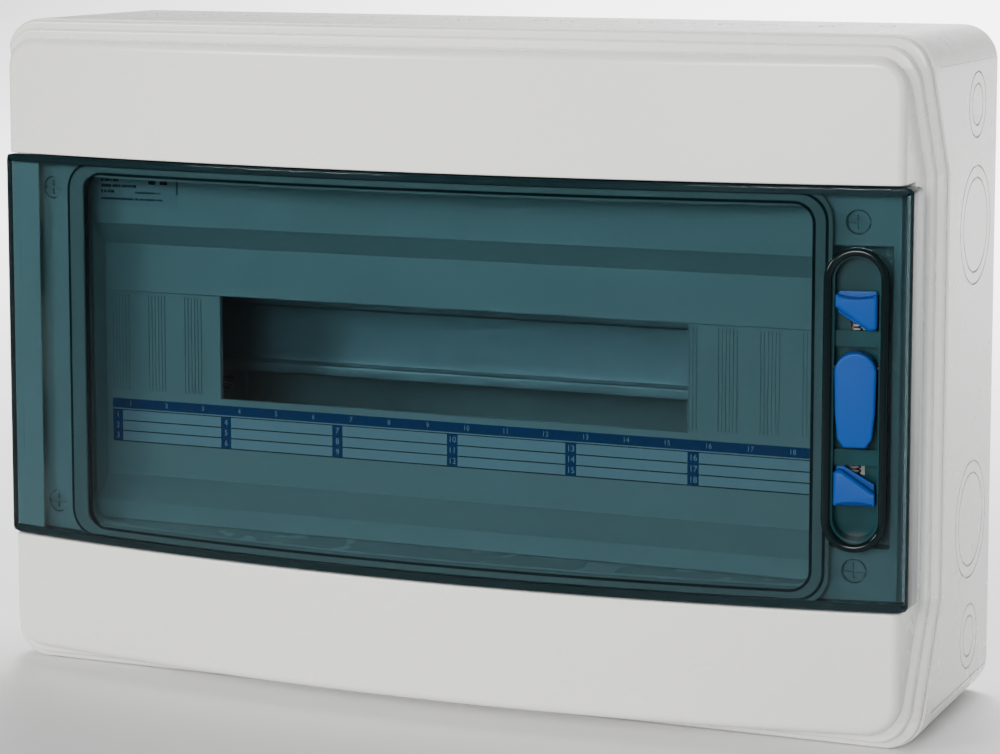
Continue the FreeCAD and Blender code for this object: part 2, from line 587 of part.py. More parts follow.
def latch_slider():
    """A thumb slider: a wedge with a hollowed end on a plate, and a stem with a catch on it."""
    half, top, low_left, low_right = SLIDER_W / 2, 43.0, 36.9, 27.0
    outline = [V(-half, 0, top), V(-half, 0, low_left), V(half - 2, 0, low_right), V(half, 0, low_right + 1.5),
               V(half, 0, top)]
    wedge = polygon(outline, V(0, SLIDER_T, 0))
    wedge = wedge.cut(cylinder_y(0, top + 22, 24.0, -1, 10))
    wedge = fillet(wedge, 0.8, lambda edge: edge.BoundBox.YMax < 0.01)
    slim = 0.15
    base = box(-7.6, 7.6, SLIDER_T - 1.4, SLIDER_T, SLIDER_BASE_LOW, SLIDER_BASE_HIGH)
    stem = box(-SLOT_HALF + slim, SLOT_HALF - slim, SLIDER_T - 0.5, LATCH_DEPTH + 3.5, STEM_Z - 3.5, STEM_Z + 2.5)
    catch = box(-SLOT_HALF + slim, SLOT_HALF - slim, LATCH_DEPTH + 1.5, LATCH_DEPTH + 3.5, STEM_Z - 3.5, STEM_Z + 4)
    return union([wedge, base, stem, catch])


def latch_slider_upper():
    """The upper thumb slider, which is pressed down."""
    return at_latch(latch_slider())


def latch_slider_lower():
    """The lower thumb slider: the upper one turned half way round, pressed up."""
    slider = latch_slider()
    slider.rotate(V(0, 0, 0), V(0, 1, 0), 180)
    return at_latch(slider)


def latch_spring(turned):
    """The coil spring between a slider's stem and the stop in the tray."""
    turns, wire_r, coil_r = 6, 0.3, 1.7
    z0, z1 = 22.2, STEM_Z - 3.7
    lift = z1 - z0 - 2 * wire_r
    helix = Part.makeHelix(lift / turns, lift, coil_r)
    section = Part.Wire(Part.makeCircle(wire_r, V(coil_r, 0, 0), V(0, 1, 0)))
    coil = Part.Wire(helix).makePipeShell([section], True, True)
    coil.translate(V(0, SPRING_DEPTH, z0 + wire_r))
    if turned:
        coil.rotate(V(0, 0, 0), V(0, 1, 0), 180)
    return at_latch(coil)


def latch_paddle():
    """The pull between the sliders: arched at its top, where it pivots, and narrower below."""
    half, bottom_half = SLIDER_W / 2, 5.4
    top, shoulder, waist, bottom = 19.3, 12.0, -9.0, -19.0
    wire = Part.Wire([
        Part.Arc(V(half, -0.6, shoulder), V(0, -0.6, top), V(-half, -0.6, shoulder)).toShape(),
        Part.LineSegment(V(-half, -0.6, shoulder), V(-half + 0.6, -0.6, waist)).toShape(),
        Part.LineSegment(V(-half + 0.6, -0.6, waist), V(-bottom_half, -0.6, bottom + 1)).toShape(),
        Part.Arc(V(-bottom_half, -0.6, bottom + 1), V(0, -0.6, bottom), V(bottom_half, -0.6, bottom + 1)).toShape(),
        Part.LineSegment(V(bottom_half, -0.6, bottom + 1), V(half - 0.6, -0.6, waist)).toShape(),
        Part.LineSegment(V(half - 0.6, -0.6, waist), V(half, -0.6, shoulder)).toShape(),
    ])
    paddle = Part.Face(wire).extrude(V(0, PADDLE_T, 0))
    paddle = fillet(paddle, 1.0, lambda edge: edge.BoundBox.YMax < -0.5)
    bore = Part.makeCylinder(1.2 + BORE_CLEAR, 30, V(-15, PADDLE_PIN_Y, PADDLE_PIN_Z), V(1, 0, 0))
    grip = box(-4.2, 4.2, 4.5, 12, bottom - 1, 2)
    return at_latch(paddle.cut([bore, grip]))


def paddle_pin():
    """The pin on which the paddle turns, through both walls of the tray."""
    return at_latch(Part.makeCylinder(1.2, 20.2, V(-10.1, PADDLE_PIN_Y, PADDLE_PIN_Z), V(1, 0, 0)))


def latch_keepers():
    """Two steel plates on the floor of the latch well, beside which the sliders' catches stop."""
    floor = LATCH_WELL[3]
    plates = []
    for sign in (-1, 1):
        foot = box(178.5, 187.5, floor - 1.2, floor, *sorted((sign * (STEM_Z + 5), sign * (STEM_Z + 17))))
        blade = box(178.5, 187.5, floor - 4.5, floor, *sorted((sign * (STEM_Z + 5), sign * (STEM_Z + 6.4))))
        plates.append(foot.fuse(blade))
    return plates


NODES = {
    "back_box": lambda: [back_box()],
    "front_cover": lambda: [front_cover()],
    "cover_gasket": lambda: [cover_gasket()],
    "cover_screws": cover_screws,
    "device_panel": lambda: [device_panel()],
    "blanking_strip_left": lambda: [blanking_strip_left()],
    "blanking_strip_right": lambda: [blanking_strip_right()],
    "label_card": lambda: [label_card()],
    "rating_plate": lambda: [rating_plate()],
    "din_rail": lambda: [din_rail()],
    "rail_support_left": lambda: [rail_support(-SUPPORT_X)],
    "rail_support_right": lambda: [rail_support(SUPPORT_X)],
    "rail_screws": rail_screws,
    "support_screws": support_screws,
    "n_terminal_holder": lambda: [terminal_holder(85.0)],
    "n_terminal_bar": lambda: [terminal_bar(85.0)],
    "n_terminal_screws": lambda: terminal_screws(85.0),
    "pe_terminal_holder": lambda: [terminal_holder(-85.0)],
    "pe_terminal_bar": lambda: [terminal_bar(-85.0)],
    "pe_terminal_screws": lambda: terminal_screws(-85.0),
    "hinge_pin_upper": lambda: [hinge_pin(KNUCKLE_Z)],
    "hinge_pin_lower": lambda: [hinge_pin(-KNUCKLE_Z)],
    "latch_keepers": latch_keepers,
    "door": lambda: [door()],
    "door_gasket": lambda: [door_gasket()],
    "latch_frame": lambda: [latch_frame()],
    "latch_slider_upper": lambda: [latch_slider_upper()],
    "latch_slider_lower": lambda: [latch_slider_lower()],
    "latch_spring_upper": lambda: [latch_spring(False)],
    "latch_spring_lower": lambda: [latch_spring(True)],
    "latch_paddle": lambda: [latch_paddle()],
    "paddle_pin": lambda: [paddle_pin()],
}


def main():
    """Make every node and write it to parts/."""
    os.makedirs("parts", exist_ok=True)
    for node, make in NODES.items():
        export(node, make())


main()
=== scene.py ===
"""Surface-mounted distribution board: finishes, detailed pieces, camera and studio.

Lengths are worked out in millimetres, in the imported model's frame: +X to the right, +Z up, the
front towards -Y, the origin at the centre of the back face. They become metres in the meshes.
"""
import logging
import math
from collections.abc import Callable
from dataclasses import dataclass
from enum import Enum

import bmesh
import bpy
import numpy as np
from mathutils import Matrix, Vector


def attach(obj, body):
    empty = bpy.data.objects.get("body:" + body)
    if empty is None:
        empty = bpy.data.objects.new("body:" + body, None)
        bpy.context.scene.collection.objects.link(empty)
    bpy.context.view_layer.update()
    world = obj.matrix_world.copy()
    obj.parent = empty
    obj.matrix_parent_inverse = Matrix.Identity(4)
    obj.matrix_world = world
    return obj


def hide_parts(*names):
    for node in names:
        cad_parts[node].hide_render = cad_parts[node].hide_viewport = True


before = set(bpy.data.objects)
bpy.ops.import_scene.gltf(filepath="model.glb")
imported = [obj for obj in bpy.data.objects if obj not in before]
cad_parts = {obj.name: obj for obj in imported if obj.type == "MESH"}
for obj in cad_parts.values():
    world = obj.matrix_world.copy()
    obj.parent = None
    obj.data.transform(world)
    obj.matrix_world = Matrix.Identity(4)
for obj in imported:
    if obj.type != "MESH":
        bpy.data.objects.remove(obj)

LOG = logging.getLogger("board")
MM = 0.001
WELD = 2e-6                     # points nearer than this become one, in metres
SHARP = 32.0                    # edges that turn by more than this many degrees stay sharp
Colour = tuple[float, float, float]
Place = tuple[float, float, float]
Placer = Callable[[np.ndarray], np.ndarray]
Value = float | Colour | bpy.types.NodeSocket
CLOSED = {"wrap_rows": True, "wrap_columns": True}


# ---- shape helpers ---------------------------------------------------------------------------------
@dataclass(frozen=True)
class Bow:
    """The bowed front, an upright cylinder: y(x) = R - depth - sqrt((R - below)^2 - x^2)."""

    depth: float = 140.0
    half_width: float = 203.0
    fall: float = 21.3

    @property
    def radius(self) -> float:
        """Radius of the bow, from its half width and how far its ends fall back."""
        return (self.half_width ** 2 + self.fall ** 2) / (2 * self.fall)

    def y(self, x: np.ndarray | float, below: np.ndarray | float = 0.0) -> np.ndarray:
        """Where the front, or a surface some way below it, lies.

        Args:
            x: Places across the front.
            below: How far behind the front the surface is, measured along the bow's radius.

        Returns:
            The y of each place.
        """
        return self.radius - self.depth - np.sqrt((self.radius - below) ** 2 - np.square(x))


BOW = Bow()


def face_lists(rows: int, columns: int, wrap_rows: bool, wrap_columns: bool) -> np.ndarray:
    """Corner numbers of the quads between neighbouring points of a grid.

    Args:
        rows: Rows of points.
        columns: Points in a row.
        wrap_rows: Whether the last row joins the first.
        wrap_columns: Whether the last point of a row joins its first.

    Returns:
        One row of four numbers per quad.
    """
    i, j = np.meshgrid(np.arange(rows - (not wrap_rows)), np.arange(columns - (not wrap_columns)),
                       indexing="ij")
    down, right = (i + 1) % rows, (j + 1) % columns
    corners = [i * columns + j, i * columns + right, down * columns + right, down * columns + j]
    return np.stack(corners, axis=-1).reshape(-1, 4)


def put(name: str, data: bpy.types.ID) -> bpy.types.Object:
    """Make an object of a mesh, lamp, camera or curve, and link it to the scene."""
    item = bpy.data.objects.new(name, data)
    bpy.context.collection.objects.link(item)
    return item


class Solid:
    """Gathers grids of points and flat caps, and makes one closed mesh of them."""

    def __init__(self, name: str) -> None:
        """Start an empty solid."""
        self.name = name
        self.points: list[np.ndarray] = []
        self.faces: list[list[int]] = []
        self.total = 0

    def _keep(self, points: np.ndarray) -> int:
        """Store points.

        Args:
            points: An array whose last axis is x, y, z.

        Returns:
            The number of the first of them.
        """
        first = self.total
        self.points.append(points.reshape(-1, 3))
        self.total += len(self.points[-1])
        return first

    def grid(self, points: np.ndarray, wrap_rows: bool = False, wrap_columns: bool = False) -> "Solid":
        """Add a grid with a quad in each gap.

        Args:
            points: (rows, columns, 3) points.
            wrap_rows: Whether the last row joins the first.
            wrap_columns: Whether the last point of a row joins its first.

        Returns:
            The solid itself.
        """
        rows, columns = points.shape[:2]
        first = self._keep(points)
        self.faces += (face_lists(rows, columns, wrap_rows, wrap_columns) + first).tolist()
        return self

    def cap(self, ring: np.ndarray) -> "Solid":
        """Add one flat face.

        Args:
            ring: (n, 3) points round its edge.

        Returns:
            The solid itself.
        """
        first = self._keep(ring)
        self.faces.append(list(range(first, first + len(ring))))
        return self

    def boxes(self, corners: np.ndarray) -> "Solid":
        """Add closed boxes.

        Args:
            corners: (n, 6) rows of x0, x1, y0, y1, z0, z1.

        Returns:
            The solid itself.
        """
        x, y, z = corners[:, 0:2], corners[:, 2:4], corners[:, 4:6]
        pick = np.array([(i, j, k) for k in (0, 1) for j in (0, 1) for i in (0, 1)])
        points = np.stack([x[:, pick[:, 0]], y[:, pick[:, 1]], z[:, pick[:, 2]]], axis=-1)
        sides = np.array([(0, 2, 3, 1), (4, 5, 7, 6), (0, 1, 5, 4), (2, 6, 7, 3), (0, 4, 6, 2), (1, 3, 7, 5)])
        first = self._keep(points) + len(pick) * np.arange(len(corners))
        self.faces += (sides[None] + first[:, None, None]).reshape(-1, 4).tolist()
        return self

    def mesh(self, points: np.ndarray, faces: list[list[int]]) -> "Solid":
        """Add any mesh.

        Args:
            points: (n, 3) points.
            faces: Each face's point numbers.

        Returns:
            The solid itself.
        """
        first = self._keep(points)
        self.faces += [[first + corner for corner in face] for face in faces]
        return self

    def build(self, finish: "Finish", sharp: float = SHARP) -> bpy.types.Object:
        """Make the object: seams merged, faces turned outwards, smooth but for its sharp edges.

        Args:
            finish: The finish it gets.
            sharp: Edges that turn by more than this many degrees stay sharp.

        Returns:
            The object, linked to the scene.
        """
        mesh = bpy.data.meshes.new(self.name)
        mesh.from_pydata((np.concatenate(self.points) * MM).tolist(), [], self.faces)
        work = bmesh.new()
        work.from_mesh(mesh)
        bmesh.ops.remove_doubles(work, verts=work.verts, dist=WELD)
        bmesh.ops.recalc_face_normals(work, faces=work.faces)
        work.to_mesh(mesh)
        work.free()
        item = put(self.name, mesh)
        shade(item, sharp)
        dress(item, finish)
        return item


def shade(item: bpy.types.Object, sharp: float) -> None:
    """Shade a mesh smooth, apart from its sharp edges.

    Args:
        item: The mesh object.
        sharp: Edges that turn by more than this many degrees stay sharp.
    """
    mesh = item.data
    mesh.polygons.foreach_set("use_smooth", np.ones(len(mesh.polygons), dtype=bool))
    mesh.set_sharp_from_angle(angle=math.radians(sharp))


def combine(base: bpy.types.Object, others: list[bpy.types.Object], operation: str,
            sharp: float = SHARP) -> None:
    """Join closed solids to a base, or take them out of it, and remove them.

    Args:
        base: The object that stays.
        others: The solids that are used up.
        operation: UNION or DIFFERENCE.
        sharp: Edges that turn by more than this many degrees stay sharp.
    """
    for other in others:
        step = base.modifiers.new("step", "BOOLEAN")
        step.operation, step.solver, step.object = operation, "EXACT", other
    mesh = bpy.data.meshes.new_from_object(base.evaluated_get(bpy.context.evaluated_depsgraph_get()))
    base.modifiers.clear()
    old, name = base.data, base.data.name
    base.data = mesh
    bpy.data.meshes.remove(old)
    mesh.name = name
    for other in others:
        bpy.data.meshes.remove(other.data)
    shade(base, sharp)


def carried(path: np.ndarray, normal: np.ndarray, profile: np.ndarray) -> np.ndarray:
    """A profile carried along a path in the XZ plane: P(i, j) = path(i) + normal(i) a(j), at depth b(j).

    Args:
        path: (n, 2) points, x and z.
        normal: (n, 2) unit normals in the same plane.
        profile: (m, 2) pairs of offset along the normal and depth.

    Returns:
        A (n, m, 3) grid whose y is the depth.
    """
    flat = path[:, None, :] + normal[:, None, :] * profile[None, :, 0:1]
    depth = np.broadcast_to(profile[None, :, 1], flat.shape[:2])
    return np.stack([flat[..., 0], depth, flat[..., 1]], axis=-1)


def bowed(points: np.ndarray) -> np.ndarray:
    """Points whose y is a depth below the bowed front, put in their place."""
    return np.stack([points[..., 0], BOW.y(points[..., 0], points[..., 1]), points[..., 2]], axis=-1)


def rounded_path(width: float, height: float, radius: float, along: int = 60, up: int = 24,
                 arc: int = 9) -> tuple[np.ndarray, np.ndarray]:
    """A rectangle with round corners: in a corner, centre of the arc + radius x normal.

    Args:
        width: Size in x.
        height: Size in z.
        radius: Corner radius.
        along: Points along the top, and along the bottom.
        up: Points along each side.
        arc: Steps round a corner.

    Returns:
        (n, 2) points, counterclockwise from the lower left, and their normals.
    """
    a, b = width / 2 - radius, height / 2 - radius
    turn = np.linspace(0, math.pi / 2, arc + 1)
    pieces = []
    for start, (cx, cz), (dx, dz), count in (
            (-math.pi / 2, (a, -b), (2 * a, 0.0), along), (0.0, (a, b), (0.0, 2 * b), up),
            (math.pi / 2, (-a, b), (-2 * a, 0.0), along), (math.pi, (-a, -b), (0.0, -2 * b), up)):
        run = np.linspace(0, 1, count, endpoint=False)[:, None]
        heading = np.array([math.cos(start), math.sin(start)])
        straight = np.array([cx - dx, cz - dz]) + run * np.array([dx, dz]) + radius * heading
        pieces.append((straight, np.broadcast_to(heading, straight.shape)))
        normals = np.stack([np.cos(start + turn), np.sin(start + turn)], axis=-1)[:-1]
        pieces.append((np.array([cx, cz]) + radius * normals, normals))
    return np.concatenate([p for p, _ in pieces]), np.concatenate([n for _, n in pieces])


def filleted(corners: list[tuple[float, float, float]], arc: int = 6, step: float = 1.0) -> np.ndarray:
    """A polygon with each corner rounded: tangent points at r tan(turn / 2) from the corner.

    Args:
        corners: x, z and radius of each corner, in order.
        arc: Steps round each corner.
        step: Longest gap between points on the straight runs.

    Returns:
        (n, 2) points.
    """
    place = np.array([c[:2] for c in corners])
    radii = np.array([c[2] for c in corners])
    back, ahead = np.roll(place, 1, axis=0) - place, np.roll(place, -1, axis=0) - place
    back /= np.linalg.norm(back, axis=1, keepdims=True)
    ahead /= np.linalg.norm(ahead, axis=1, keepdims=True)
    inside = np.arccos(np.clip((back * ahead).sum(axis=1), -1, 1))
    reach = radii / np.tan(inside / 2)
    share = np.linspace(0, 1, arc + 1)[None, :, None]
    start, end = place + back * reach[:, None], place + ahead * reach[:, None]
    middle = (back + ahead) / np.linalg.norm(back + ahead, axis=1, keepdims=True)
    centre = place + middle * (radii / np.sin(inside / 2))[:, None]
    blend = (start - centre)[:, None, :] * (1 - share) + (end - centre)[:, None, :] * share
    blend *= (radii[:, None] / np.linalg.norm(blend, axis=2))[:, :, None]
    arcs = centre[:, None, :] + blend
    runs = []
    for i, rounded in enumerate(arcs):
        goal = arcs[(i + 1) % len(arcs)][0]
        count = max(1, int(np.linalg.norm(goal - rounded[-1]) / step))
        runs += [rounded, rounded[-1] + (goal - rounded[-1]) * np.linspace(0, 1, count + 1)[1:-1, None]]
    return np.concatenate(runs)


def outward(outline: np.ndarray) -> np.ndarray:
    """Unit normals of a closed outline: the chord between a point's neighbours, turned a quarter.

    Args:
        outline: (n, 2) points in order.

    Returns:
        (n, 2) normals to the outside.
    """
    along = np.roll(outline, -1, axis=0) - np.roll(outline, 1, axis=0)
    along /= np.linalg.norm(along, axis=1, keepdims=True)
    x, z = outline[:, 0], outline[:, 1]
    area = np.sum(x * np.roll(z, -1) - np.roll(x, -1) * z)
    return np.stack([along[:, 1], -along[:, 0]], axis=-1) * np.sign(area)


def slab(name: str, outline: np.ndarray, front: float, back: float, edge: np.ndarray | float,
         rear_edge: float = 0.2, place: Placer | None = None) -> Solid:
    """A plate of any outline with a rounded front edge: inset e (1 - cos t), set back e (1 - sin t).

    Args:
        name: Name of the solid.
        outline: (n, 2) points, x and z.
        front: y of the front face.
        back: y of the rear face.
        edge: Radius of the front edge, one for all or one per point.
        rear_edge: Radius of the rear edge.
        place: A function that moves the finished points, or None.

    Returns:
        The closed solid.
    """
    normal = outward(outline)
    size = np.broadcast_to(np.asarray(edge, dtype=float), (len(outline),))
    turn = np.linspace(0, math.pi / 2, 7)
    rings = [(rear_edge * (1 - math.sin(t)) * np.ones_like(size), back - rear_edge * (1 - math.cos(t)))
             for t in turn[::3]]
    rings = [(inset, np.broadcast_to(y, size.shape)) for inset, y in rings]
    rings += [(size * (1 - math.cos(t)), front + size * (1 - math.sin(t))) for t in turn]
    points = np.stack([np.stack([outline[:, 0] - normal[:, 0] * inset, y,
                                 outline[:, 1] - normal[:, 1] * inset], axis=-1) for inset, y in rings])
    if place:
        points = place(points)
    return Solid(name).grid(points, wrap_columns=True).cap(points[0]).cap(points[-1])


# ---- finishes --------------------------------------------------------------------------------------
class Pen:
    """Draws a node tree: adds nodes with their settings and joins their sockets."""

    def __init__(self, tree: bpy.types.NodeTree) -> None:
        """Start on an empty tree."""
        self.tree = tree
        tree.nodes.clear()

    def node(self, kind: str, values: dict[str | int, Value] | None = None,
             **settings: object) -> bpy.types.Node:
        """Add a node.

        Args:
            kind: The node's type name.
            values: Input socket name to a constant or to an output socket.
            settings: Attributes of the node itself.

        Returns:
            The node.
        """
        made = self.tree.nodes.new(kind)
        for key, value in settings.items():
            setattr(made, key, value)
        for key, value in (values or {}).items():
            if isinstance(value, bpy.types.NodeSocket):
                self.tree.links.new(value, made.inputs[key])
            else:
                made.inputs[key].default_value = value
        return made

    def math(self, operation: str, *values: Value, clamp: bool = False) -> bpy.types.NodeSocket:
        """Add a Math node and return its output."""
        made = self.node("ShaderNodeMath", dict(enumerate(values)), operation=operation, use_clamp=clamp)
        return made.outputs[0]

    def tint(self, colour: Value, shade: Value) -> bpy.types.NodeSocket:
        """Multiply a colour by a grey value and return the result."""
        return self.node("ShaderNodeVectorMath", {0: colour, "Scale": shade}, operation="SCALE").outputs[0]


class Effect(Enum):
    """Surface effects that several finishes share."""

    MOULDED = "moulded_surface"
    DRAWN = "drawn_metal"
    DUST = "dust_specks"


class EffectShop:
    """Builds each shared effect once, as a shader node group."""

    def __init__(self) -> None:
        """Build the three groups."""
        self.groups = {
            Effect.MOULDED: self._moulded(),
            Effect.DRAWN: self._drawn(),
            Effect.DUST: self._dust(),
        }

    @staticmethod
    def _group(effect: Effect, inputs: dict[str, float], outputs: tuple[str, ...]) -> tuple[
            bpy.types.NodeTree, Pen, bpy.types.NodeOutputs, bpy.types.NodeInputs]:
        """Start a group with named value sockets.

        Args:
            effect: Which effect it is, for its name.
            inputs: Input name to default value.
            outputs: Output names.

        Returns:
            The group, a pen for it, its input node's outputs and its output node's inputs.
        """
        group = bpy.data.node_groups.new(effect.value, "ShaderNodeTree")
        pen = Pen(group)
        for name, default in inputs.items():
            socket = group.interface.new_socket(name, in_out="INPUT", socket_type="NodeSocketFloat")
            socket.default_value = default
        for name in outputs:
            group.interface.new_socket(name, in_out="OUTPUT", socket_type="NodeSocketFloat")
        return group, pen, pen.node("NodeGroupInput").outputs, pen.node("NodeGroupOutput").inputs

    def _moulded(self) -> bpy.types.NodeTree:
        """Moulded plastic: fine spark-eroded grain, faint flow mottle and handling smudges.

        Returns:
            The group.
        """
        group, pen, given, out = self._group(
            Effect.MOULDED, {"Grain Scale": 2600.0, "Mottle": 0.03, "Smudge": 0.06},
            ("Height", "Shade", "Roughness Shift"))
        place = pen.node("ShaderNodeTexCoord").outputs["Object"]
        grain = pen.node("ShaderNodeTexNoise", {
            "Vector": place, "Scale": given["Grain Scale"], "Detail": 2.0, "Roughness": 0.55})
        flow = pen.node("ShaderNodeTexNoise", {
            "Vector": place, "Scale": 9.0, "Detail": 3.0, "Distortion": 0.6})
        wipe = pen.node("ShaderNodeTexNoise", {
            "Vector": place, "Scale": 34.0, "Detail": 5.0, "Distortion": 1.1})
        links = pen.tree.links
        links.new(grain.outputs["Fac"], out["Height"])
        centred = pen.math("SUBTRACT", flow.outputs["Fac"], 0.5)
        links.new(pen.math("MULTIPLY_ADD", centred, given["Mottle"], 1.0), out["Shade"])
        rubbed = pen.math("SUBTRACT", wipe.outputs["Fac"], 0.45)
        links.new(pen.math("MULTIPLY", rubbed, given["Smudge"]), out["Roughness Shift"])
        return group

    def _drawn(self) -> bpy.types.NodeTree:
        """Rolled or drawn metal: streaks along X and a soft spangle of zinc grains.

        Returns:
            The group.
        """
        group, pen, given, out = self._group(
            Effect.DRAWN, {"Streak": 1.0, "Spangle": 0.1}, ("Height", "Shade", "Roughness Shift"))
        place = pen.node("ShaderNodeTexCoord").outputs["Object"]
        drawn = pen.node("ShaderNodeMapping", {"Vector": place, "Scale": (14.0, 700.0, 700.0)})
        streak = pen.node("ShaderNodeTexNoise", {"Vector": drawn.outputs[0], "Scale": 1.0, "Detail": 3.0})
        grains = pen.node("ShaderNodeTexVoronoi", {"Vector": place, "Scale": 210.0, "Randomness": 1.0})
        tone = pen.node("ShaderNodeSeparateColor", {"Color": grains.outputs["Color"]}).outputs[0]
        links = pen.tree.links
        links.new(pen.math("MULTIPLY", streak.outputs["Fac"], given["Streak"]), out["Height"])
        spread = pen.math("MULTIPLY", pen.math("SUBTRACT", tone, 0.5), given["Spangle"])
        links.new(pen.math("ADD", spread, 1.0), out["Shade"])
        drift = pen.math("MULTIPLY", pen.math("SUBTRACT", streak.outputs["Fac"], 0.5), 0.25)
        links.new(pen.math("ADD", spread, drift), out["Roughness Shift"])
        return group

    def _dust(self) -> bpy.types.NodeTree:
        """Dust: a few pale specks, each the middle of a cell that chance picks out.

        Returns:
            The group.
        """
        group, pen, given, out = self._group(
            Effect.DUST, {"Cells": 260.0, "Share": 0.02, "Size": 0.16}, ("Mask",))
        place = pen.node("ShaderNodeTexCoord").outputs["Object"]
        cells = pen.node("ShaderNodeTexVoronoi", {
            "Vector": place, "Scale": given["Cells"], "Randomness": 1.0})
        chance = pen.node("ShaderNodeSeparateColor", {"Color": cells.outputs["Color"]}).outputs[1]
        near = pen.math("LESS_THAN", cells.outputs["Distance"], given["Size"])
        picked = pen.math("LESS_THAN", chance, given["Share"])
        pen.tree.links.new(pen.math("MULTIPLY", near, picked), out["Mask"])
        return group


EFFECTS = EffectShop()


def place_effect(pen: Pen, effect: Effect, values: dict[str, float]) -> bpy.types.Node:
    """Put a shared effect in a material.

    Args:
        pen: The material's pen.
        effect: Which effect.
        values: Input name to value.

    Returns:
        The group node.
    """
    made = pen.node("ShaderNodeGroup", node_tree=EFFECTS.groups[effect])
    for key, value in values.items():
        made.inputs[key].default_value = value
    return made


DUST_COLOUR = (0.75, 0.73, 0.68, 1.0)


def blank_material(name: str) -> tuple[bpy.types.Material, Pen, bpy.types.NodeSocket]:
    """Start a material.

    Args:
        name: Its name.

    Returns:
        The material, a pen for its nodes and the socket that its surface goes into.
    """
    material = bpy.data.materials.new(name)
    material.use_nodes = True
    pen = Pen(material.node_tree)
    return material, pen, pen.node("ShaderNodeOutputMaterial").inputs["Surface"]


@dataclass(frozen=True)
class Opaque:
    """What plastics and metals share: a colour and a gloss, both varied by a surface effect, and a relief."""

    name: str
    colour: Colour
    roughness: float = 0.3

    def _make(self, effect: Effect, values: dict[str, float], relief: tuple[float, float],
              shading: dict[str, float], dust: float = 0.0) -> bpy.types.Material:
        """Make the material.

        Args:
            effect: The surface effect.
            values: The effect's inputs.
            relief: Strength and depth of the bump, the depth in metres.
            shading: More inputs of the shader.
            dust: Share of the places where a speck lies.

        Returns:
            The material.
        """
        material, pen, out = blank_material(self.name)
        surface = place_effect(pen, effect, values).outputs
        colour = pen.tint(self.colour, surface["Shade"])
        roughness = pen.math("ADD", self.roughness, surface["Roughness Shift"], clamp=True)
        if dust:
            specks = place_effect(pen, Effect.DUST, {"Share": dust}).outputs["Mask"]
            mixed = pen.node("ShaderNodeMix", data_type="RGBA")
            pen.tree.links.new(specks, mixed.inputs[0])
            pen.tree.links.new(colour, mixed.inputs[6])
            mixed.inputs[7].default_value = DUST_COLOUR
            colour = mixed.outputs[2]
        strength, depth = relief
        bump = pen.node("ShaderNodeBump", {
            "Height": surface["Height"], "Strength": strength, "Distance": depth})
        shader = pen.node("ShaderNodeBsdfPrincipled", {
            "Base Color": colour, "Roughness": roughness, "Normal": bump.outputs[0], **shading})
        pen.tree.links.new(shader.outputs[0], out)
        return material


@dataclass(frozen=True)
class Plastic(Opaque):
    """A moulded, cast or printed non-metal, perhaps with dust on it."""

    grain: float = 2600.0
    relief: float = 0.05
    mottle: float = 0.03
    smudge: float = 0.06
    dust: float = 0.0
    specular: float = 0.5

    def build(self) -> bpy.types.Material:
        """Make the material, with the moulded surface."""
        values = {"Grain Scale": self.grain, "Mottle": self.mottle, "Smudge": self.smudge}
        shading = {"Specular IOR Level": self.specular}
        return self._make(Effect.MOULDED, values, (self.relief, 0.0002), shading, self.dust)


@dataclass(frozen=True)
class Metal(Opaque):
    """A bright, drawn or plated metal."""

    streak: float = 1.0
    spangle: float = 0.12

    def build(self) -> bpy.types.Material:
        """Make the material, with the drawn surface."""
        values = {"Streak": self.streak, "Spangle": self.spangle}
        return self._make(Effect.DRAWN, values, (0.05, 0.0001), {"Metallic": 1.0})


@dataclass(frozen=True)
class SmokedClear:
    """Tinted clear plastic that lets lamps through, with painted shade that darkens it where it is seen
    edge-on.
    """

    name: str
    colour: Colour
    roughness: float = 0.02
    index: float = 1.2
    edge_shade_level: float = 0.2
    edge_from: float = 0.30
    edge_to: float = 0.62

    def build(self) -> bpy.types.Material:
        """Make the material: tinted glass for sight, the same tint without bending for lamps.

        Returns:
            The material.
        """
        material, pen, out = blank_material(self.name)
        surface = place_effect(pen, Effect.MOULDED,
                               {"Grain Scale": 420.0, "Mottle": 0.05, "Smudge": 0.02})
        # Painted shade: the colour darkens where the sheet is seen edge-on, standing in for the dark edges
        # that refraction and internal reflection give.
        facing = pen.node("ShaderNodeLayerWeight", {"Blend": 0.5}).outputs["Facing"]
        edge_on = pen.node("ShaderNodeMapRange", {
            "Value": facing, "From Min": self.edge_from, "From Max": self.edge_to, "To Min": 1.0,
            "To Max": self.edge_shade_level}, interpolation_type="SMOOTHSTEP").outputs[0]
        colour = pen.tint(self.colour, pen.math("MULTIPLY", surface.outputs["Shade"], edge_on))
        roughness = pen.math("ADD", self.roughness, surface.outputs["Roughness Shift"], clamp=True)
        glass = pen.node("ShaderNodeBsdfPrincipled", {
            "Base Color": colour, "Roughness": roughness, "IOR": self.index, "Transmission Weight": 1.0})
        through = (*(math.sqrt(part) for part in self.colour), 1.0)
        clear = pen.node("ShaderNodeBsdfTransparent", {"Color": through})
        shadow = pen.node("ShaderNodeLightPath").outputs["Is Shadow Ray"]
        mixed = pen.node("ShaderNodeMixShader", {0: shadow, 1: glass.outputs[0], 2: clear.outputs[0]})
        pen.tree.links.new(mixed.outputs[0], out)
        return material


MATERIALS: dict[str, bpy.types.Material] = {}


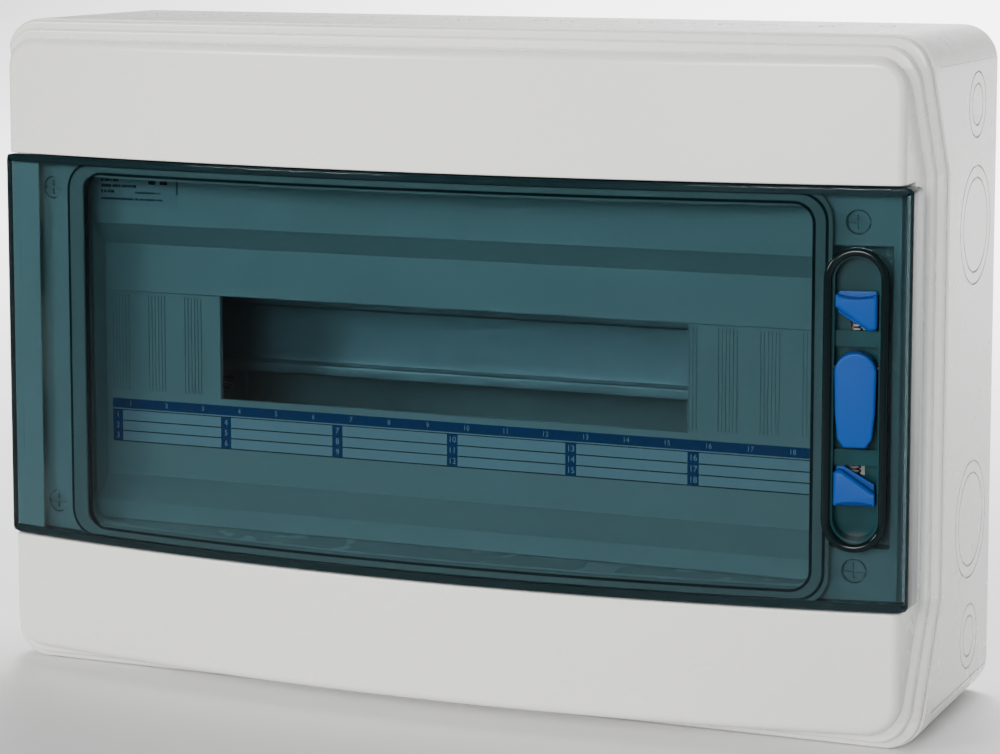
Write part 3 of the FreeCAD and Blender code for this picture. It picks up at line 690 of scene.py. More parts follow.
class Finish(Enum):
    """Every finish on the board."""

    HOUSING = Plastic("housing_plastic", (0.70, 0.70, 0.675), 0.27, smudge=0.03, relief=0.02)
    PANEL = Plastic("panel_plastic", (0.62, 0.63, 0.61), 0.36, dust=0.012)
    SMOKED = SmokedClear("smoked_sheet", (0.134, 0.210, 0.232))
    TRAY = Plastic("smoked_tray", (0.002, 0.030, 0.036), 0.25, specular=0.15, grain=1800.0)
    # Painted shade: the clear collar ridge is shown near-black, as internal reflection makes it look.
    COLLAR_SHADE = Plastic("collar_painted_shade", (0.002, 0.006, 0.007), 0.08, relief=0.01, specular=0.12, smudge=0.0)
    # Painted shade: a near-black stand-in for the clear ribs and edges, which look dark from internal
    # reflection.
    RIB_SHADE = Plastic("rib_painted_shade", (0.008, 0.024, 0.027), 0.30, relief=0.01, specular=0.2)
    BLUE = Plastic("blue_moulding", (0.0, 0.042, 0.205), 0.34, mottle=0.05, specular=0.12)
    SEAL = Plastic("seal_foam", (0.50, 0.49, 0.46), 0.82, grain=5200.0, relief=0.5, specular=0.3)
    STRIP = Plastic("moulded_strip", (0.84, 0.82, 0.78), 0.5, specular=0.3)
    CARD = Plastic("card_stock", (0.78, 0.80, 0.86), 0.62, grain=4200.0, relief=0.1)
    FOIL = Plastic("label_foil", (0.55, 0.56, 0.56), 0.35)
    ZINC = Metal("zinc_plate", (0.62, 0.63, 0.64), 0.46, streak=0.4, spangle=0.06)
    SCREW = Metal("screw_plate", (0.58, 0.57, 0.54), 0.28, spangle=0.05)
    SPRING = Metal("spring_wire", (0.035, 0.035, 0.038), 0.45, spangle=0.03)
    BRASS = Metal("brass_bar", (0.72, 0.52, 0.24), 0.26, spangle=0.04)
    NEUTRAL = Plastic("neutral_holder", (0.02, 0.12, 0.42), 0.38)
    EARTH = Plastic("earth_holder", (0.03, 0.27, 0.07), 0.38)
    NAVY = Plastic("navy_print", (0.0, 0.10, 0.34), 0.5, mottle=0.02, specular=0.2)
    INK = Plastic("dark_print", (0.004, 0.008, 0.014), 0.5, mottle=0.02, specular=0.2)
    PALE_INK = Plastic("pale_print", (0.86, 0.92, 0.98), 0.5, mottle=0.02)
    FLOOR = Plastic("pale_floor", (0.90, 0.90, 0.90), 0.8, mottle=0.0, smudge=0.0, relief=0.0)

    def material(self) -> bpy.types.Material:
        """The finish's material, made the first time it is asked for.

        Returns:
            The material.
        """
        if self.name not in MATERIALS:
            MATERIALS[self.name] = self.value.build()
        return MATERIALS[self.name]


def dress(piece: bpy.types.Object, finish: Finish) -> None:
    """Give a piece one finish all over."""
    piece.data.materials.clear()
    piece.data.materials.append(finish.material())


# ---- the studio ------------------------------------------------------------------------------------
@dataclass(frozen=True)
class Lamp:
    """A square soft lamp: where it hangs, its side, its power, what it faces and how wide it opens."""

    name: str
    place: Place
    size: float
    watts: float
    colour: Colour
    aim: Place = (0.0, 0.0, 0.0)
    spread: float = 180.0                               # degrees
    glints: bool = True                                 # whether glossy surfaces mirror it

    def hang(self) -> None:
        """Add the lamp to the scene, turned to face its aim."""
        data = bpy.data.lights.new(self.name, "AREA")
        data.size, data.energy, data.color = self.size, self.watts, self.colour
        data.spread = math.radians(self.spread)
        item = put(self.name, data)
        item.location = self.place
        item.rotation_euler = (Vector(self.aim) - item.location).to_track_quat("-Z", "Y").to_euler()
        item.visible_glossy = self.glints


@dataclass(frozen=True)
class Studio:
    """The camera, soft lamps in front, a wash over the background, and a pale floor that curves up."""

    eye: Place = (0.5204, -1.2752, 0.2000)
    turn: float = 22.9                                  # degrees to the left of +Y
    pitch: float = 6.7                                  # degrees below level
    lens: float = 110.5
    rise: float = -0.127
    near: float = 0.05
    far: float = 60.0
    floor: float = -0.1437
    curve: float = 2.0                                  # radius of the backdrop's bend
    wall: float = 4.0                                   # how far back its wall stands
    front: float = -6.0
    top: float = 6.0
    half_width: float = 8.0
    room: Colour = (0.95, 0.97, 1.0)
    room_light: float = 0.26
    lamps: tuple[Lamp, ...] = (
        Lamp("key", (-1.15, -1.75, 0.60), 0.6, 1.7, (1.0, 0.985, 0.96), (0.0, 0.0, 0.05), 34.0),
        Lamp("front", (0.30, -2.2, 0.50), 0.8, 3.0, (1.0, 0.99, 0.98), (0.05, 0.0, 0.05), 34.0),
        Lamp("fill", (2.0, -0.7, 0.5), 1.2, 0.3, (0.97, 0.98, 1.0), spread=70.0),
        Lamp("wash", (-0.4, 2.0, 1.8), 2.2, 210.0, (1.0, 1.0, 1.0), (-0.2, 2.2, 0.0), 130.0, glints=False),
    )

    def camera(self) -> None:
        """Set up the camera, level and with a small shift."""
        data = bpy.data.cameras.new("eye")
        data.lens, data.sensor_width, data.shift_y = self.lens, 36.0, self.rise
        data.clip_start, data.clip_end = self.near, self.far
        item = put("eye", data)
        item.location = self.eye
        item.rotation_euler = (math.radians(90 - self.pitch), 0.0, math.radians(self.turn))
        bpy.context.scene.camera = item

    def backdrop(self) -> None:
        """The floor, and a quarter circle that takes it up into a wall behind the board."""
        turn = np.linspace(0, math.pi / 2, 25)
        bend = np.stack([self.wall - self.curve + self.curve * np.sin(turn),
                         self.floor + self.curve * (1 - np.cos(turn))], axis=-1)
        line = np.concatenate([[(self.front, self.floor)], bend, [(self.wall, self.top)]])
        across = np.tile([-self.half_width, self.half_width], len(line))
        points = np.column_stack([across, np.repeat(line, 2, axis=0)])
        mesh = bpy.data.meshes.new("pale_backdrop")
        mesh.from_pydata(points.tolist(), [], face_lists(len(line), 2, False, False).tolist())
        mesh.polygons.foreach_set("use_smooth", np.ones(len(mesh.polygons), dtype=bool))
        item = put("pale_backdrop", mesh)
        dress(item, Finish.FLOOR)

    def build(self) -> None:
        """Set up camera, lamps, room light and floor."""
        self.camera()
        for lamp in self.lamps:
            lamp.hang()
        world = bpy.data.worlds.new("room")
        world.use_nodes = True
        background = world.node_tree.nodes["Background"]
        background.inputs[0].default_value = (*self.room, 1.0)
        background.inputs[1].default_value = self.room_light
        bpy.context.scene.world = world
        self.backdrop()


# ---- the door --------------------------------------------------------------------------------------
def spaced(low: float, high: float, corner: float, count: int) -> np.ndarray:
    """Places from low to high, closer together within a corner's radius of each end."""
    near = np.linspace(0, 1, 5)[:-1] * corner
    return np.concatenate([low + near, np.linspace(low + corner, high - corner, count), (high - near)[::-1]])


@dataclass(frozen=True)
class Face:
    """A rectangular patch with round corners, meshed as a grid of squares bent into the corner arcs."""

    x0: float
    x1: float
    half: float
    corner: float
    columns: int = 110
    rows: int = 44

    def grid(self) -> tuple[np.ndarray, np.ndarray, np.ndarray, np.ndarray]:
        """The grid: in a corner block (a, b) becomes (a sqrt(1 - b^2/2), b sqrt(1 - a^2/2)).

        Returns:
            x, z and the two parts of the outward normal, which has length one on the boundary.
        """
        x, z = np.meshgrid(spaced(self.x0, self.x1, self.corner, self.columns),
                           spaced(-self.half, self.half, self.corner, self.rows))
        cx = np.clip(x, self.x0 + self.corner, self.x1 - self.corner)
        cz = np.clip(z, -self.half + self.corner, self.half - self.corner)
        a, b = (x - cx) / self.corner, (z - cz) / self.corner
        nx, nz = a * np.sqrt(1 - b * b / 2), b * np.sqrt(1 - a * a / 2)
        return cx + self.corner * nx, cz + self.corner * nz, nx, nz


def rim(grid: np.ndarray) -> np.ndarray:
    """The boundary of a grid, once round."""
    return np.concatenate([grid[0, :-1], grid[:-1, -1], grid[-1, :0:-1], grid[:0:-1, 0]])


@dataclass(frozen=True)
class Door:
    """The tinted door: a bowed pan with a raised collar round the latch, seal ribs and knuckles."""

    left: float = -205.2
    right: float = 206.2
    half: float = 84.7
    wall: float = 3.0
    edge: tuple[float, float, float] = (3.0, 2.2, 1.1)          # left, right, and top and bottom
    inner_inset: tuple[float, float, float] = (2.5, 3.0, 2.2)
    inner_edge: float = 0.8
    corner: float = 1.6
    lip_depth: float = 8.0
    rear_right: float = -103.1
    rear_left: float = -112.0
    ribs: tuple[tuple[float, float, float, float], ...] = (     # width, height, radius and middle of each
        (329.8, 157.0, 9.0, 3.3), (344.1, 164.4, 12.0, 1.2))
    rib_half: float = 0.6
    rib_depths: tuple[float, float] = (3.02, 4.4)
    band_inset: float = 0.4
    band_width: tuple[float, float] = (0.9, 2.0)                # everywhere, and added above and below
    band_depths: tuple[float, float] = (1.2, 7.4)
    strip_reach: tuple[float, float] = (2.8, 18.0)              # from the left edge
    strip_margin: float = 3.4
    strip_depths: tuple[float, float] = (3.04, 3.30)
    hinge: tuple[float, float] = (-198.5, -112.0)
    knuckles: tuple[float, float] = (-37.5, 37.5)
    knuckle_half: float = 10.5
    knuckle_radii: tuple[float, float] = (2.05, 4.0)
    knuckle_soft: float = 0.4
    webs: tuple[tuple[float, float, float, float], ...] = (     # x from the axis, front y, y from the axis
        (-3.6, -2.4, -115.5, 0.4), (0.2, 2.0, -116.6, -2.6))
    window: tuple[float, float] = (19.4, 115.0)
    ridge: float = 3.2
    ridge_rise: float = 1.1
    slack: float = 0.06

    def _skin(self, inset: tuple[float, float, float], below: float,
              edge: tuple[float, float, float]) -> tuple[np.ndarray, np.ndarray]:
        """One side of the pan: the face at a depth below the bow, its rounded edge and its upright wall.

        Args:
            inset: How far the wall stands inside the door's outline at the left, right, and top and bottom.
            below: Depth of the face.
            edge: Radius between face and wall, at the same three places.

        Returns:
            The face's grid, and the wall's rings from the face to the rear.
        """
        face = Face(self.left + inset[0] + edge[0], self.right - inset[1] - edge[1],
                    self.half - inset[2] - edge[2], self.corner)
        x, z, nx, nz = face.grid()
        front = np.stack([x, BOW.y(x, below), z], axis=-1)
        x, z, nx, nz = rim(x), rim(z), rim(nx), rim(nz)
        across = np.where(nx > 0, edge[1], edge[0])
        deep = np.abs(nx) * across + np.abs(nz) * edge[2]
        level = BOW.y(x, below)
        t = np.linspace(0, math.pi / 2, 8)[:, None]
        rings = np.stack([x + nx * across * np.sin(t), level + deep * (1 - np.cos(t)),
                          z + nz * edge[2] * np.sin(t)], axis=-1)
        side = nx * nx * (3 - 2 * np.abs(nx))
        ends = np.where(nx > 0, self.rear_right, self.rear_left)
        rear = (1 - side) * BOW.y(x, self.lip_depth) + side * ends
        share = np.array([[0.5], [1.0]])
        straight = np.repeat(rings[-1:], len(share), axis=0)
        straight[..., 1] = rings[-1, :, 1] * (1 - share) + rear * share
        return front, np.concatenate([rings, straight])

    def pan(self) -> bpy.types.Object:
        """The bowed sheet with its returned edges, closed at the rear by a flat rim.

        Returns:
            The sheet, before its window is cut.
        """
        front, outer = self._skin((0.0, 0.0, 0.0), 0.0, self.edge)
        rear, inner = self._skin(self.inner_inset, self.wall, (self.inner_edge,) * 3)
        inner[-1, :, 1] = outer[-1, :, 1]
        solid = Solid("door_smoked").grid(front).grid(rear).grid(outer, wrap_columns=True)
        solid.grid(inner, wrap_columns=True).grid(np.stack([outer[-1], inner[-1]]), wrap_columns=True)
        return solid.build(Finish.SMOKED)

    def seal_ribs(self) -> None:
        """The ribs behind the sheet: straight walls and a half circle for a tip, carried round a path."""
        solid = Solid("seal_ribs")
        tip, half = np.linspace(0, math.pi, 7), self.rib_half
        low, high = self.rib_depths
        arc = np.stack([half * np.cos(tip), high + half * np.sin(tip)], axis=-1)
        profile = np.concatenate([[(half, low)], arc, [(-half, low)]])
        for width, height, radius, middle in self.ribs:
            path, normal = rounded_path(width - 2 * half, height - 2 * half, radius - half)
            solid.grid(bowed(carried(path + np.array([middle, 0.0]), normal, profile)), **CLOSED)
        # The ribs' near-black finish is painted shade for clear ribs seen edge-on.
        mount(solid.build(Finish.RIB_SHADE), "door_assembly", "smoked_clear")

    def dark_edge_shade(self) -> None:
        """Painted shade: a dark band in the sheet's edge, standing in for the dark line that the clear edge
        shows, as wide as least + more |n.z| where its normal is n.
        """
        inset, (least, more), (low, high) = self.band_inset, self.band_width, self.band_depths
        width, height = self.right - self.left - 2 * inset, 2 * self.half - 2 * inset
        path, normal = rounded_path(width, height, self.corner)
        path = path + np.array([(self.right + self.left) / 2, 0.0])
        inward = (least + more * np.abs(normal[:, 1:2])) * np.array([[0.0, 0.0, 1.0, 1.0]])
        flat = path[:, None, :] - normal[:, None, :] * inward[:, :, None]
        depth = np.broadcast_to(np.array([low, high, high, low]), inward.shape)
        grid = bowed(np.stack([flat[..., 0], depth, flat[..., 1]], axis=-1))
        item = Solid("door_edge_painted_shade").grid(grid, **CLOSED).build(Finish.RIB_SHADE)
        mount(item, "door_assembly", "smoked_clear")

    def hinge_strip(self) -> None:
        """The pale strip moulded behind the sheet over the hinge, between two depths below the bow."""
        near, far = self.strip_reach
        reach = self.half - self.strip_margin
        x, z = np.meshgrid(np.linspace(self.left + near, self.left + far, 9), np.array([-reach, reach]))
        front, rear = (np.stack([x, BOW.y(x, depth), z], axis=-1) for depth in self.strip_depths)
        ring = np.stack([rim(front), rim(rear)])
        item = Solid("door_hinge_strip").grid(front).grid(rear).grid(ring, wrap_columns=True)
        mount(item.build(Finish.STRIP), "door_assembly", "smoked_clear")

    def hinge_knuckles(self) -> list[bpy.types.Object]:
        """The knuckles round the pins, each a profile turned about the axis, and the webs that carry them.

        Returns:
            The pieces, to be joined to the sheet.
        """
        turn = np.linspace(0, 2 * math.pi, 48, endpoint=False)[:, None]
        (axis_x, axis_y), (bore, outside), soft = self.hinge, self.knuckle_radii, self.knuckle_soft
        made = []
        for index, middle in enumerate(self.knuckles):
            low, high = middle - self.knuckle_half, middle + self.knuckle_half
            profile = np.array([
                (bore, low + soft), (bore + soft, low), (outside - soft, low), (outside, low + soft),
                (outside, high - soft), (outside - soft, high), (bore + soft, high), (bore, high - soft)])
            radius, height = profile[None, :, 0], np.broadcast_to(profile[None, :, 1], (len(turn), 8))
            tube = np.stack([axis_x + radius * np.cos(turn), axis_y + radius * np.sin(turn), height], axis=-1)
            web = np.array([(axis_x + x0, axis_x + x1, front, axis_y + rear, low, high)
                            for x0, x1, front, rear in self.webs])
            made.append(Solid(f"knuckle_{index}").grid(tube, **CLOSED).build(Finish.SMOKED))
            made.append(Solid(f"web_{index}").boxes(web).build(Finish.SMOKED))
        return made

    def collar(self) -> None:
        """The ridge round the latch window: half an ellipse, carried round the window's outline."""
        path, normal = obround_path(*self.window)
        front, half = np.linspace(0, math.pi, 13), self.ridge / 2
        arc = np.stack([half - half * np.cos(front), 0.1 - self.ridge_rise * np.sin(front)], axis=-1)
        profile = np.concatenate([[(0.0, self.wall)], arc, [(self.ridge, self.wall)]])
        grid = at_latch(carried(path, normal, profile))
        # The collar's near-black finish is painted shade for a clear ridge.
        mount(Solid("latch_collar").grid(grid, **CLOSED).build(Finish.COLLAR_SHADE), "door_assembly", "tray_smoke")

    def build(self) -> None:
        """Make the door's pieces and let them ride on the door assembly."""
        door = self.pan()
        path, _ = obround_path(*(size + self.slack + 2 * self.ridge for size in self.window))
        opening = slab("opening", path, -9.0, 9.0, 0.2, place=at_latch).build(Finish.SMOKED)
        combine(door, [opening], "DIFFERENCE")
        combine(door, self.hinge_knuckles(), "UNION")
        self.collar()
        self.seal_ribs()
        self.dark_edge_shade()
        self.hinge_strip()
        mount(door, "door_assembly", "smoked_clear", "door")


@dataclass(frozen=True)
class DoorSeal:
    """The foam seal between the door's ribs: a soft bead with a rounded nose."""

    width: float = 337.0
    height: float = 160.4
    middle: float = 2.3
    radius: float = 9.1
    half: float = 4.0
    depths: tuple[float, float, float, float] = (3.08, 3.4, 4.0, 5.5)       # base, sides from and to, nose
    base_inset: float = 0.3
    roundness: float = 0.6

    def build(self) -> None:
        """Make the seal and let it ride on the door assembly."""
        base, low, high, nose = self.depths
        path, normal = rounded_path(self.width, self.height, self.radius)
        turn, foot = np.linspace(0, math.pi, 13), self.half - self.base_inset
        bead = np.stack([self.half * np.cos(turn), high + (nose - high) * np.sin(turn) ** self.roundness],
                        axis=-1)
        profile = np.concatenate([[(foot, base), (self.half, low)], bead, [(-self.half, low), (-foot, base)]])
        grid = bowed(carried(path + np.array([self.middle, 0.0]), normal, profile))
        item = Solid("door_seal").grid(grid, **CLOSED).build(Finish.SEAL)
        mount(item, "door_assembly", "seal", "door_gasket")


def mount(item: bpy.types.Object, body: str, slot: str, *nodes: str) -> None:
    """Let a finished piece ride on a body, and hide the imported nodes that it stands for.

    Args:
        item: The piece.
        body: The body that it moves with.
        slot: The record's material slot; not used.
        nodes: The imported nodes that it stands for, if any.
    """
    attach(item, body)
    if nodes:
        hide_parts(*nodes)
    LOG.info("%s: %d faces on %s", item.name, len(item.data.polygons), body)


# ---- the latch -------------------------------------------------------------------------------------
LATCH_X = 185.0


def at_latch(points: np.ndarray) -> np.ndarray:
    """Turn points drawn about the latch window to face along the bow's normal there, and move them to it.

    Args:
        points: Points across, back and up from the window's middle.

    Returns:
        The points in the part's own frame.
    """
    tilt = math.asin(LATCH_X / BOW.radius)
    x, y = points[..., 0], points[..., 1]
    return np.stack([x * math.cos(tilt) - y * math.sin(tilt) + LATCH_X,
                     x * math.sin(tilt) + y * math.cos(tilt) + BOW.y(LATCH_X), points[..., 2]], axis=-1)


def turned(points: np.ndarray) -> np.ndarray:
    """Points turned half way round about the latch window's middle, then placed."""
    return at_latch(points * np.array([-1.0, 1.0, -1.0]))


def obround_path(width: float, height: float) -> tuple[np.ndarray, np.ndarray]:
    """A slot shape on end, as points and outward normals."""
    return rounded_path(width, height, width / 2 - 0.01, along=1, up=30, arc=16)


@dataclass(frozen=True)
class Latch:
    """The blue thumb sliders and the pull between them."""

    half: float = 8.3
    depth: float = 6.8
    hollow: tuple[float, float] = (65.0, 24.0)          # middle and radius of the hollow above a slider
    shoulder: float = 42.6
    chin: float = 36.9
    bevel: tuple[float, float, float] = (0.8, 1.5, 0.5)         # all round, and added on the slant and right
    plate: tuple[float, float, float] = (7.6, 43.0, 27.0)       # half width, top and bottom
    stem_half: float = 3.05
    stem: tuple[float, float] = (32.5, 38.5)
    stem_rear: float = 17.0
    catch_front: float = 15.0
    arch: tuple[float, float] = (19.3, 7.3)             # top and rise of the pull's arch
    waist: float = -5.0
    foot: tuple[tuple[float, float], ...] = ((6.9, -15.2), (4.4, -18.8))
    pull: tuple[float, float] = (-0.6, 7.2)
    pin: tuple[float, float, float] = (5.5, 12.5, 1.25)         # depth, height and radius
    grip: tuple[float, float, float] = (4.2, 2.0, -20.5)        # half width, top and bottom

    def _wedge(self, name: str, place: Placer) -> Solid:
        """A slider's wedge: hollowed above, slanted below with a broad bevel.

        Args:
            name: The piece's name.
            place: What moves it to its place.

        Returns:
            The wedge, not yet built.
        """
        hollow = np.linspace(-self.half + 1.0, self.half - 1.0, 25)
        middle, radius = self.hollow
        top = middle - np.sqrt(radius ** 2 - hollow ** 2)
        crest = [(x, z, 0.05) for x, z in zip(hollow[::-1], top[::-1])]
        corners = [(self.half, self.shoulder, 0.7), *crest, (-self.half, self.shoulder, 0.7),
                   (-self.half, self.chin, 1.4), (self.half - 2.4, 27.2, 2.2), (self.half, 29.0, 1.2)]
        outline = filleted(corners, step=0.8)
        normal = outward(outline)
        below = np.clip(1 - (outline[:, 1] - 37.5) / 2, 0, 1)
        slant = np.clip(-normal[:, 1] * 1.2 - 0.25, 0, 1) * below
        right = np.clip(normal[:, 0], 0, 1)
        least, slanted, beside = self.bevel
        edge = least + slanted * slant * (1 - right) + beside * right
        return slab(name, outline, 0.0, self.depth, edge, place=place)

    def slider(self, name: str, body: str, node: str, place: Placer) -> None:
        """One slider with its plate, stem and catch.

        Args:
            name: The piece's name.
            body: The body that it moves with.
            node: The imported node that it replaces.
            place: What moves it to its place.
        """
        item = self._wedge(name, place).build(Finish.BLUE)
        half, high, low = self.plate
        plate = filleted([(half, high, 0.6), (-half, high, 0.6), (-half, 34.2, 0.6),
                          (half - 3.0, low, 0.9), (half, low, 0.6)])
        stem, catch = (filleted([(self.stem_half, top, 0.4), (-self.stem_half, top, 0.4),
                                 (-self.stem_half, self.stem[0], 0.4), (self.stem_half, self.stem[0], 0.4)])
                       for top in (self.stem[1], self.stem[1] + 1.5))
        extras = [slab("plate", plate, 5.4, self.depth, 0.3, place=place),
                  slab("stem", stem, self.depth - 0.5, self.stem_rear, 0.1, place=place),
                  slab("catch", catch, self.catch_front, self.stem_rear, 0.4, place=place)]
        combine(item, [extra.build(Finish.BLUE) for extra in extras], "UNION")
        mount(item, body, "latch_blue", node)

    def _pull_outline(self) -> np.ndarray:
        """The pull's outline: arched above where it pivots, tapering to a cut-off foot.

        Returns:
            Its points.
        """
        across = np.linspace(self.half, -self.half, 31)
        crown, rise = self.arch
        radius = (self.half ** 2 + rise ** 2) / (2 * rise)
        top = crown - radius + np.sqrt(radius ** 2 - across ** 2)
        crest = [(x, z, 0.05) for x, z in zip(across[1:-1], top[1:-1])]
        (ankle_x, ankle_z), (toe_x, toe_z) = self.foot
        return filleted([
            (self.half, 12.0, 1.6), *crest, (-self.half, 12.0, 1.6), (-self.half + 0.4, self.waist, 8.0),
            (-ankle_x, ankle_z, 2.0), (-toe_x, toe_z, 1.2), (toe_x, toe_z, 1.2), (ankle_x, ankle_z, 2.0),
            (self.half - 0.4, self.waist, 8.0)], step=0.8)

    def paddle(self) -> None:
        """The pull, bored for its pin and hollowed behind for a finger."""
        front, rear = self.pull
        item = slab("latch_pull", self._pull_outline(), front, rear, 1.1, place=at_latch).build(Finish.BLUE)
        turn = np.linspace(0, 2 * math.pi, 32, endpoint=False)
        deep, up, radius = self.pin
        bore = np.stack([np.stack([np.full(32, x), deep + radius * np.cos(turn), up + radius * np.sin(turn)],
                                  axis=-1) for x in (-14.0, 14.0)])
        pin_hole = Solid("bore").grid(at_latch(bore), wrap_columns=True)
        pin_hole.cap(at_latch(bore[0])).cap(at_latch(bore[1]))
        half, high, low = self.grip
        grip = filleted([(half, high, 1.0), (-half, high, 1.0), (-half, low, 1.0), (half, low, 1.0)])
        hollow = slab("grip", grip, 4.5, 12.0, 0.8, place=at_latch)
        combine(item, [pin_hole.build(Finish.BLUE), hollow.build(Finish.BLUE)], "DIFFERENCE")
        mount(item, "paddle", "latch_blue", "latch_paddle")

    def build(self) -> None:
        """Make both sliders and the pull."""
        self.slider("thumb_slider_upper", "upper_slider", "latch_slider_upper", at_latch)
        self.slider("thumb_slider_lower", "lower_slider", "latch_slider_lower", turned)
        self.paddle()


# ---- inside the window -------------------------------------------------------------------------------
def lettering(name: str, marks: list[tuple[str, float, float, float]], front: float,
              finish: Finish) -> bpy.types.Object:
    """Digits as one thin printed mesh that faces the front.

    Args:
        name: Name of the piece.
        marks: Text, x, z and height of each mark's middle.
        front: y that the marks stand on.
        finish: Their finish.

    Returns:
        The object.
    """
    solid = Solid(name)
    for text, x, z, size in marks:
        curve = bpy.data.curves.new("mark", "FONT")
        curve.body, curve.size, curve.extrude, curve.resolution_u = text, size * 1.35, 0.02, 3
        curve.align_x, curve.align_y = "CENTER", "CENTER"
        item = put("mark", curve)
        mesh = bpy.data.meshes.new_from_object(item.evaluated_get(bpy.context.evaluated_depsgraph_get()))
        flat = np.empty(len(mesh.vertices) * 3)
        mesh.vertices.foreach_get("co", flat)
        flat = flat.reshape(-1, 3)
        points = np.stack([flat[:, 0] + x, front - 0.02 - flat[:, 2], flat[:, 1] + z], axis=-1)
        solid.mesh(points, [list(face.vertices) for face in mesh.polygons])
        bpy.data.objects.remove(item)
        bpy.data.curves.remove(curve)
        bpy.data.meshes.remove(mesh)
    return solid.build(finish)


@dataclass(frozen=True)
class LabelCard:
    """The circuit card: a numbered header over three writing rows, in six groups of three places."""

    half: float = 162.0
    top: float = -24.2
    bottom: float = -43.4
    front: float = -100.6
    pitch: float = 18.0
    places: int = 18
    group: int = 3
    header: float = 4.3
    block: float = 4.9
    rule: float = 0.45
    print_depth: float = 0.05
    digit_heights: tuple[float, float] = (2.3, 2.7)     # in the header, in the blocks

    def build(self) -> None:
        """Make the printed bands, rules and digits over the card."""
        half, ink = self.half, self.front - self.print_depth
        head = self.top - self.header
        starts = np.arange(-half, half - 1, self.group * self.pitch)
        rows = np.linspace(head - 0.9, self.bottom + 0.2, self.group + 1)
        bands = [(-half, half, ink, self.front, head, self.top)]
        bands += [(x, x + self.block, ink, self.front, rows[-1], rows[0]) for x in starts]
        item = Solid("label_bands").boxes(np.array(bands)).build(Finish.NAVY)
        mount(item, "enclosure", "label")
        lines = [(-half, half, ink + 0.01, self.front, z - self.rule / 2, z + self.rule / 2)
                 for z in rows[1:]]
        lines += [(-half, half, ink + 0.01, self.front, rows[0], rows[0] + 0.35)]
        item = Solid("label_rules").boxes(np.array(lines)).build(Finish.INK)
        mount(item, "enclosure", "label")
        above, beside = self.digit_heights
        marks = [(str(i + 1), -half + self.pitch * (i + 0.5), self.top - self.header / 2, above)
                 for i in range(self.places)]
        step = (rows[0] - rows[-1]) / self.group
        marks += [(str(i + 1), starts[i // self.group] + self.block / 2,
                   rows[0] - step * (i % self.group + 0.5), beside) for i in range(self.places)]
        mount(lettering("label_digits", marks, ink, Finish.PALE_INK), "enclosure", "label")


@dataclass(frozen=True)
class RatingPlate:
    """The data plate at the panel's upper left, with plain bars where its print would be."""

    x: float = -141.2
    z: float = 70.0
    front: float = -110.3
    print_depth: float = 0.04
    seed: int = 7
    lines: tuple[tuple[float, float, float, float], ...] = (    # start, bottom, length and height of each
        (-19.5, 3.4, 8.0, 1.1), (-19.5, 0.9, 17.0, 1.2), (-19.5, -1.6, 6.0, 1.2),
        (-19.5, -4.6, 30.0, 0.9), (-2.5, -1.6, 12.0, 0.8))
    column: tuple[float, float] = (17.6, 18.4)
    rungs: int = 6
    blocks: tuple[tuple[float, float], ...] = ((4.0, 7.4), (9.6, 13.2))
    block_reach: tuple[float, float] = (2.6, 4.2)

    def _bar(self, left: float, right: float, low: float, high: float) -> tuple[float, ...]:
        """The bounds of one bar of print, from bounds about the plate's middle."""
        return left, right, self.front - self.print_depth, self.front, self.z + low, self.z + high

    def build(self) -> None:
        """Make the bars: lines of dashes, a short column of rungs and two blocks."""
        chance = np.random.default_rng(self.seed)
        bars = []
        for start, low, reach, height in self.lines:
            x = self.x + start
            end = x + reach
            while x < end:
                wide = 0.5 + 0.9 * chance.random()
                bars.append(self._bar(x, x + wide, low, low + height))
                x += wide + (0.25 if chance.random() < 0.8 else 0.8)
        bars += [self._bar(self.x + self.column[0], self.x + self.column[1], i - 1.5, i - 0.8)
                 for i in range(self.rungs)]
        bars += [self._bar(self.x + left, self.x + right, *self.block_reach) for left, right in self.blocks]
        item = Solid("plate_print").boxes(np.array(bars)).build(Finish.INK)
        mount(item, "enclosure", "label")


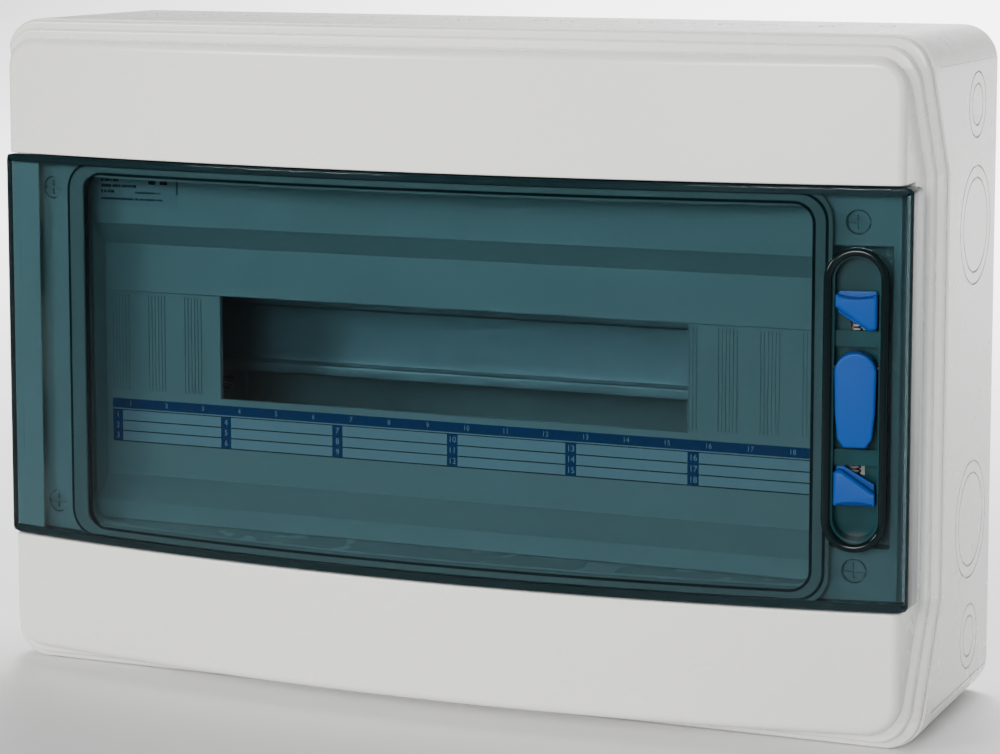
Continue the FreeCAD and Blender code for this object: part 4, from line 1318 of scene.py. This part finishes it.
@dataclass(frozen=True)
class Rail:
    """The mounting rail: a top-hat section with rolled bends, drawn along X."""

    half: float = 182.0
    front: float = -54.0
    middle: float = 1.25
    thick: float = 1.0
    height: float = 6.5                                 # from the flanges to the web
    flange: float = 17.5                                # half the height over the flanges
    hat: float = 12.5                                   # half the height inside the hat
    bends: tuple[float, float, float] = (0.35, 1.2, 0.5)        # radii at the ends, outside and inside

    def build(self) -> None:
        """Make the rail: its section is a closed outline with round corners."""
        f, t = self.front, self.thick
        w, brim, hat = f + self.height, self.flange, self.hat
        end, outer, inner = self.bends
        section = filleted([
            (f, brim, end), (f, hat, outer), (w, hat, inner), (w, -hat, inner), (f, -hat, outer),
            (f, -brim, end), (f + t, -brim, end), (f + t, -hat - t, inner), (w + t, -hat - t, outer),
            (w + t, hat + t, outer), (f + t, hat + t, inner), (f + t, brim, end)], step=3.0)
        x = np.array([-self.half, -self.half + 0.3, *np.linspace(-170, 170, 35), self.half - 0.3, self.half])
        size = (len(x), len(section))
        points = np.stack([np.broadcast_to(x[:, None], size), np.broadcast_to(section[:, 0], size),
                           np.broadcast_to(section[:, 1] + self.middle, size)], axis=-1)
        item = Solid("top_hat_rail").grid(points, wrap_columns=True).cap(points[0]).cap(points[-1])
        mount(item.build(Finish.ZINC), "enclosure", "zinc_steel", "din_rail")


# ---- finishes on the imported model's own pieces -------------------------------------------------------
KEPT: dict[str, Finish] = {
    "back_box": Finish.HOUSING, "front_cover": Finish.HOUSING, "cover_gasket": Finish.SEAL,
    "cover_screws": Finish.PANEL, "device_panel": Finish.PANEL, "blanking_strip_left": Finish.PANEL,
    "blanking_strip_right": Finish.PANEL, "label_card": Finish.CARD, "rating_plate": Finish.FOIL,
    "din_rail": Finish.ZINC, "rail_support_left": Finish.ZINC, "rail_support_right": Finish.ZINC,
    "rail_screws": Finish.SCREW, "support_screws": Finish.SCREW, "n_terminal_holder": Finish.NEUTRAL,
    "n_terminal_bar": Finish.BRASS, "n_terminal_screws": Finish.SCREW, "pe_terminal_holder": Finish.EARTH,
    "pe_terminal_bar": Finish.BRASS, "pe_terminal_screws": Finish.SCREW, "hinge_pin_upper": Finish.SCREW,
    # latch_keepers wear the dark spring finish as painted shade behind the tray's slots.
    "hinge_pin_lower": Finish.SCREW, "latch_keepers": Finish.SPRING, "door": Finish.SMOKED,
    "door_gasket": Finish.SEAL, "latch_frame": Finish.TRAY, "latch_slider_upper": Finish.BLUE,
    "latch_slider_lower": Finish.BLUE, "latch_spring_upper": Finish.SPRING,
    "latch_spring_lower": Finish.SPRING, "latch_paddle": Finish.BLUE, "paddle_pin": Finish.SPRING,
}


def main() -> None:
    """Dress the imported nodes, build the detailed pieces and set up the studio."""
    logging.basicConfig(level=logging.INFO, format="%(name)s: %(message)s")
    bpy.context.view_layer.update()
    for name, finish in KEPT.items():
        dress(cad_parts[name], finish)
        LOG.info("%s: packed piece with the %s finish", name, finish.name.lower())
    Door().build()
    DoorSeal().build()
    Latch().build()
    LabelCard().build()
    RatingPlate().build()
    Rail().build()
    Studio().build()


if __name__ == "__main__":
    main()
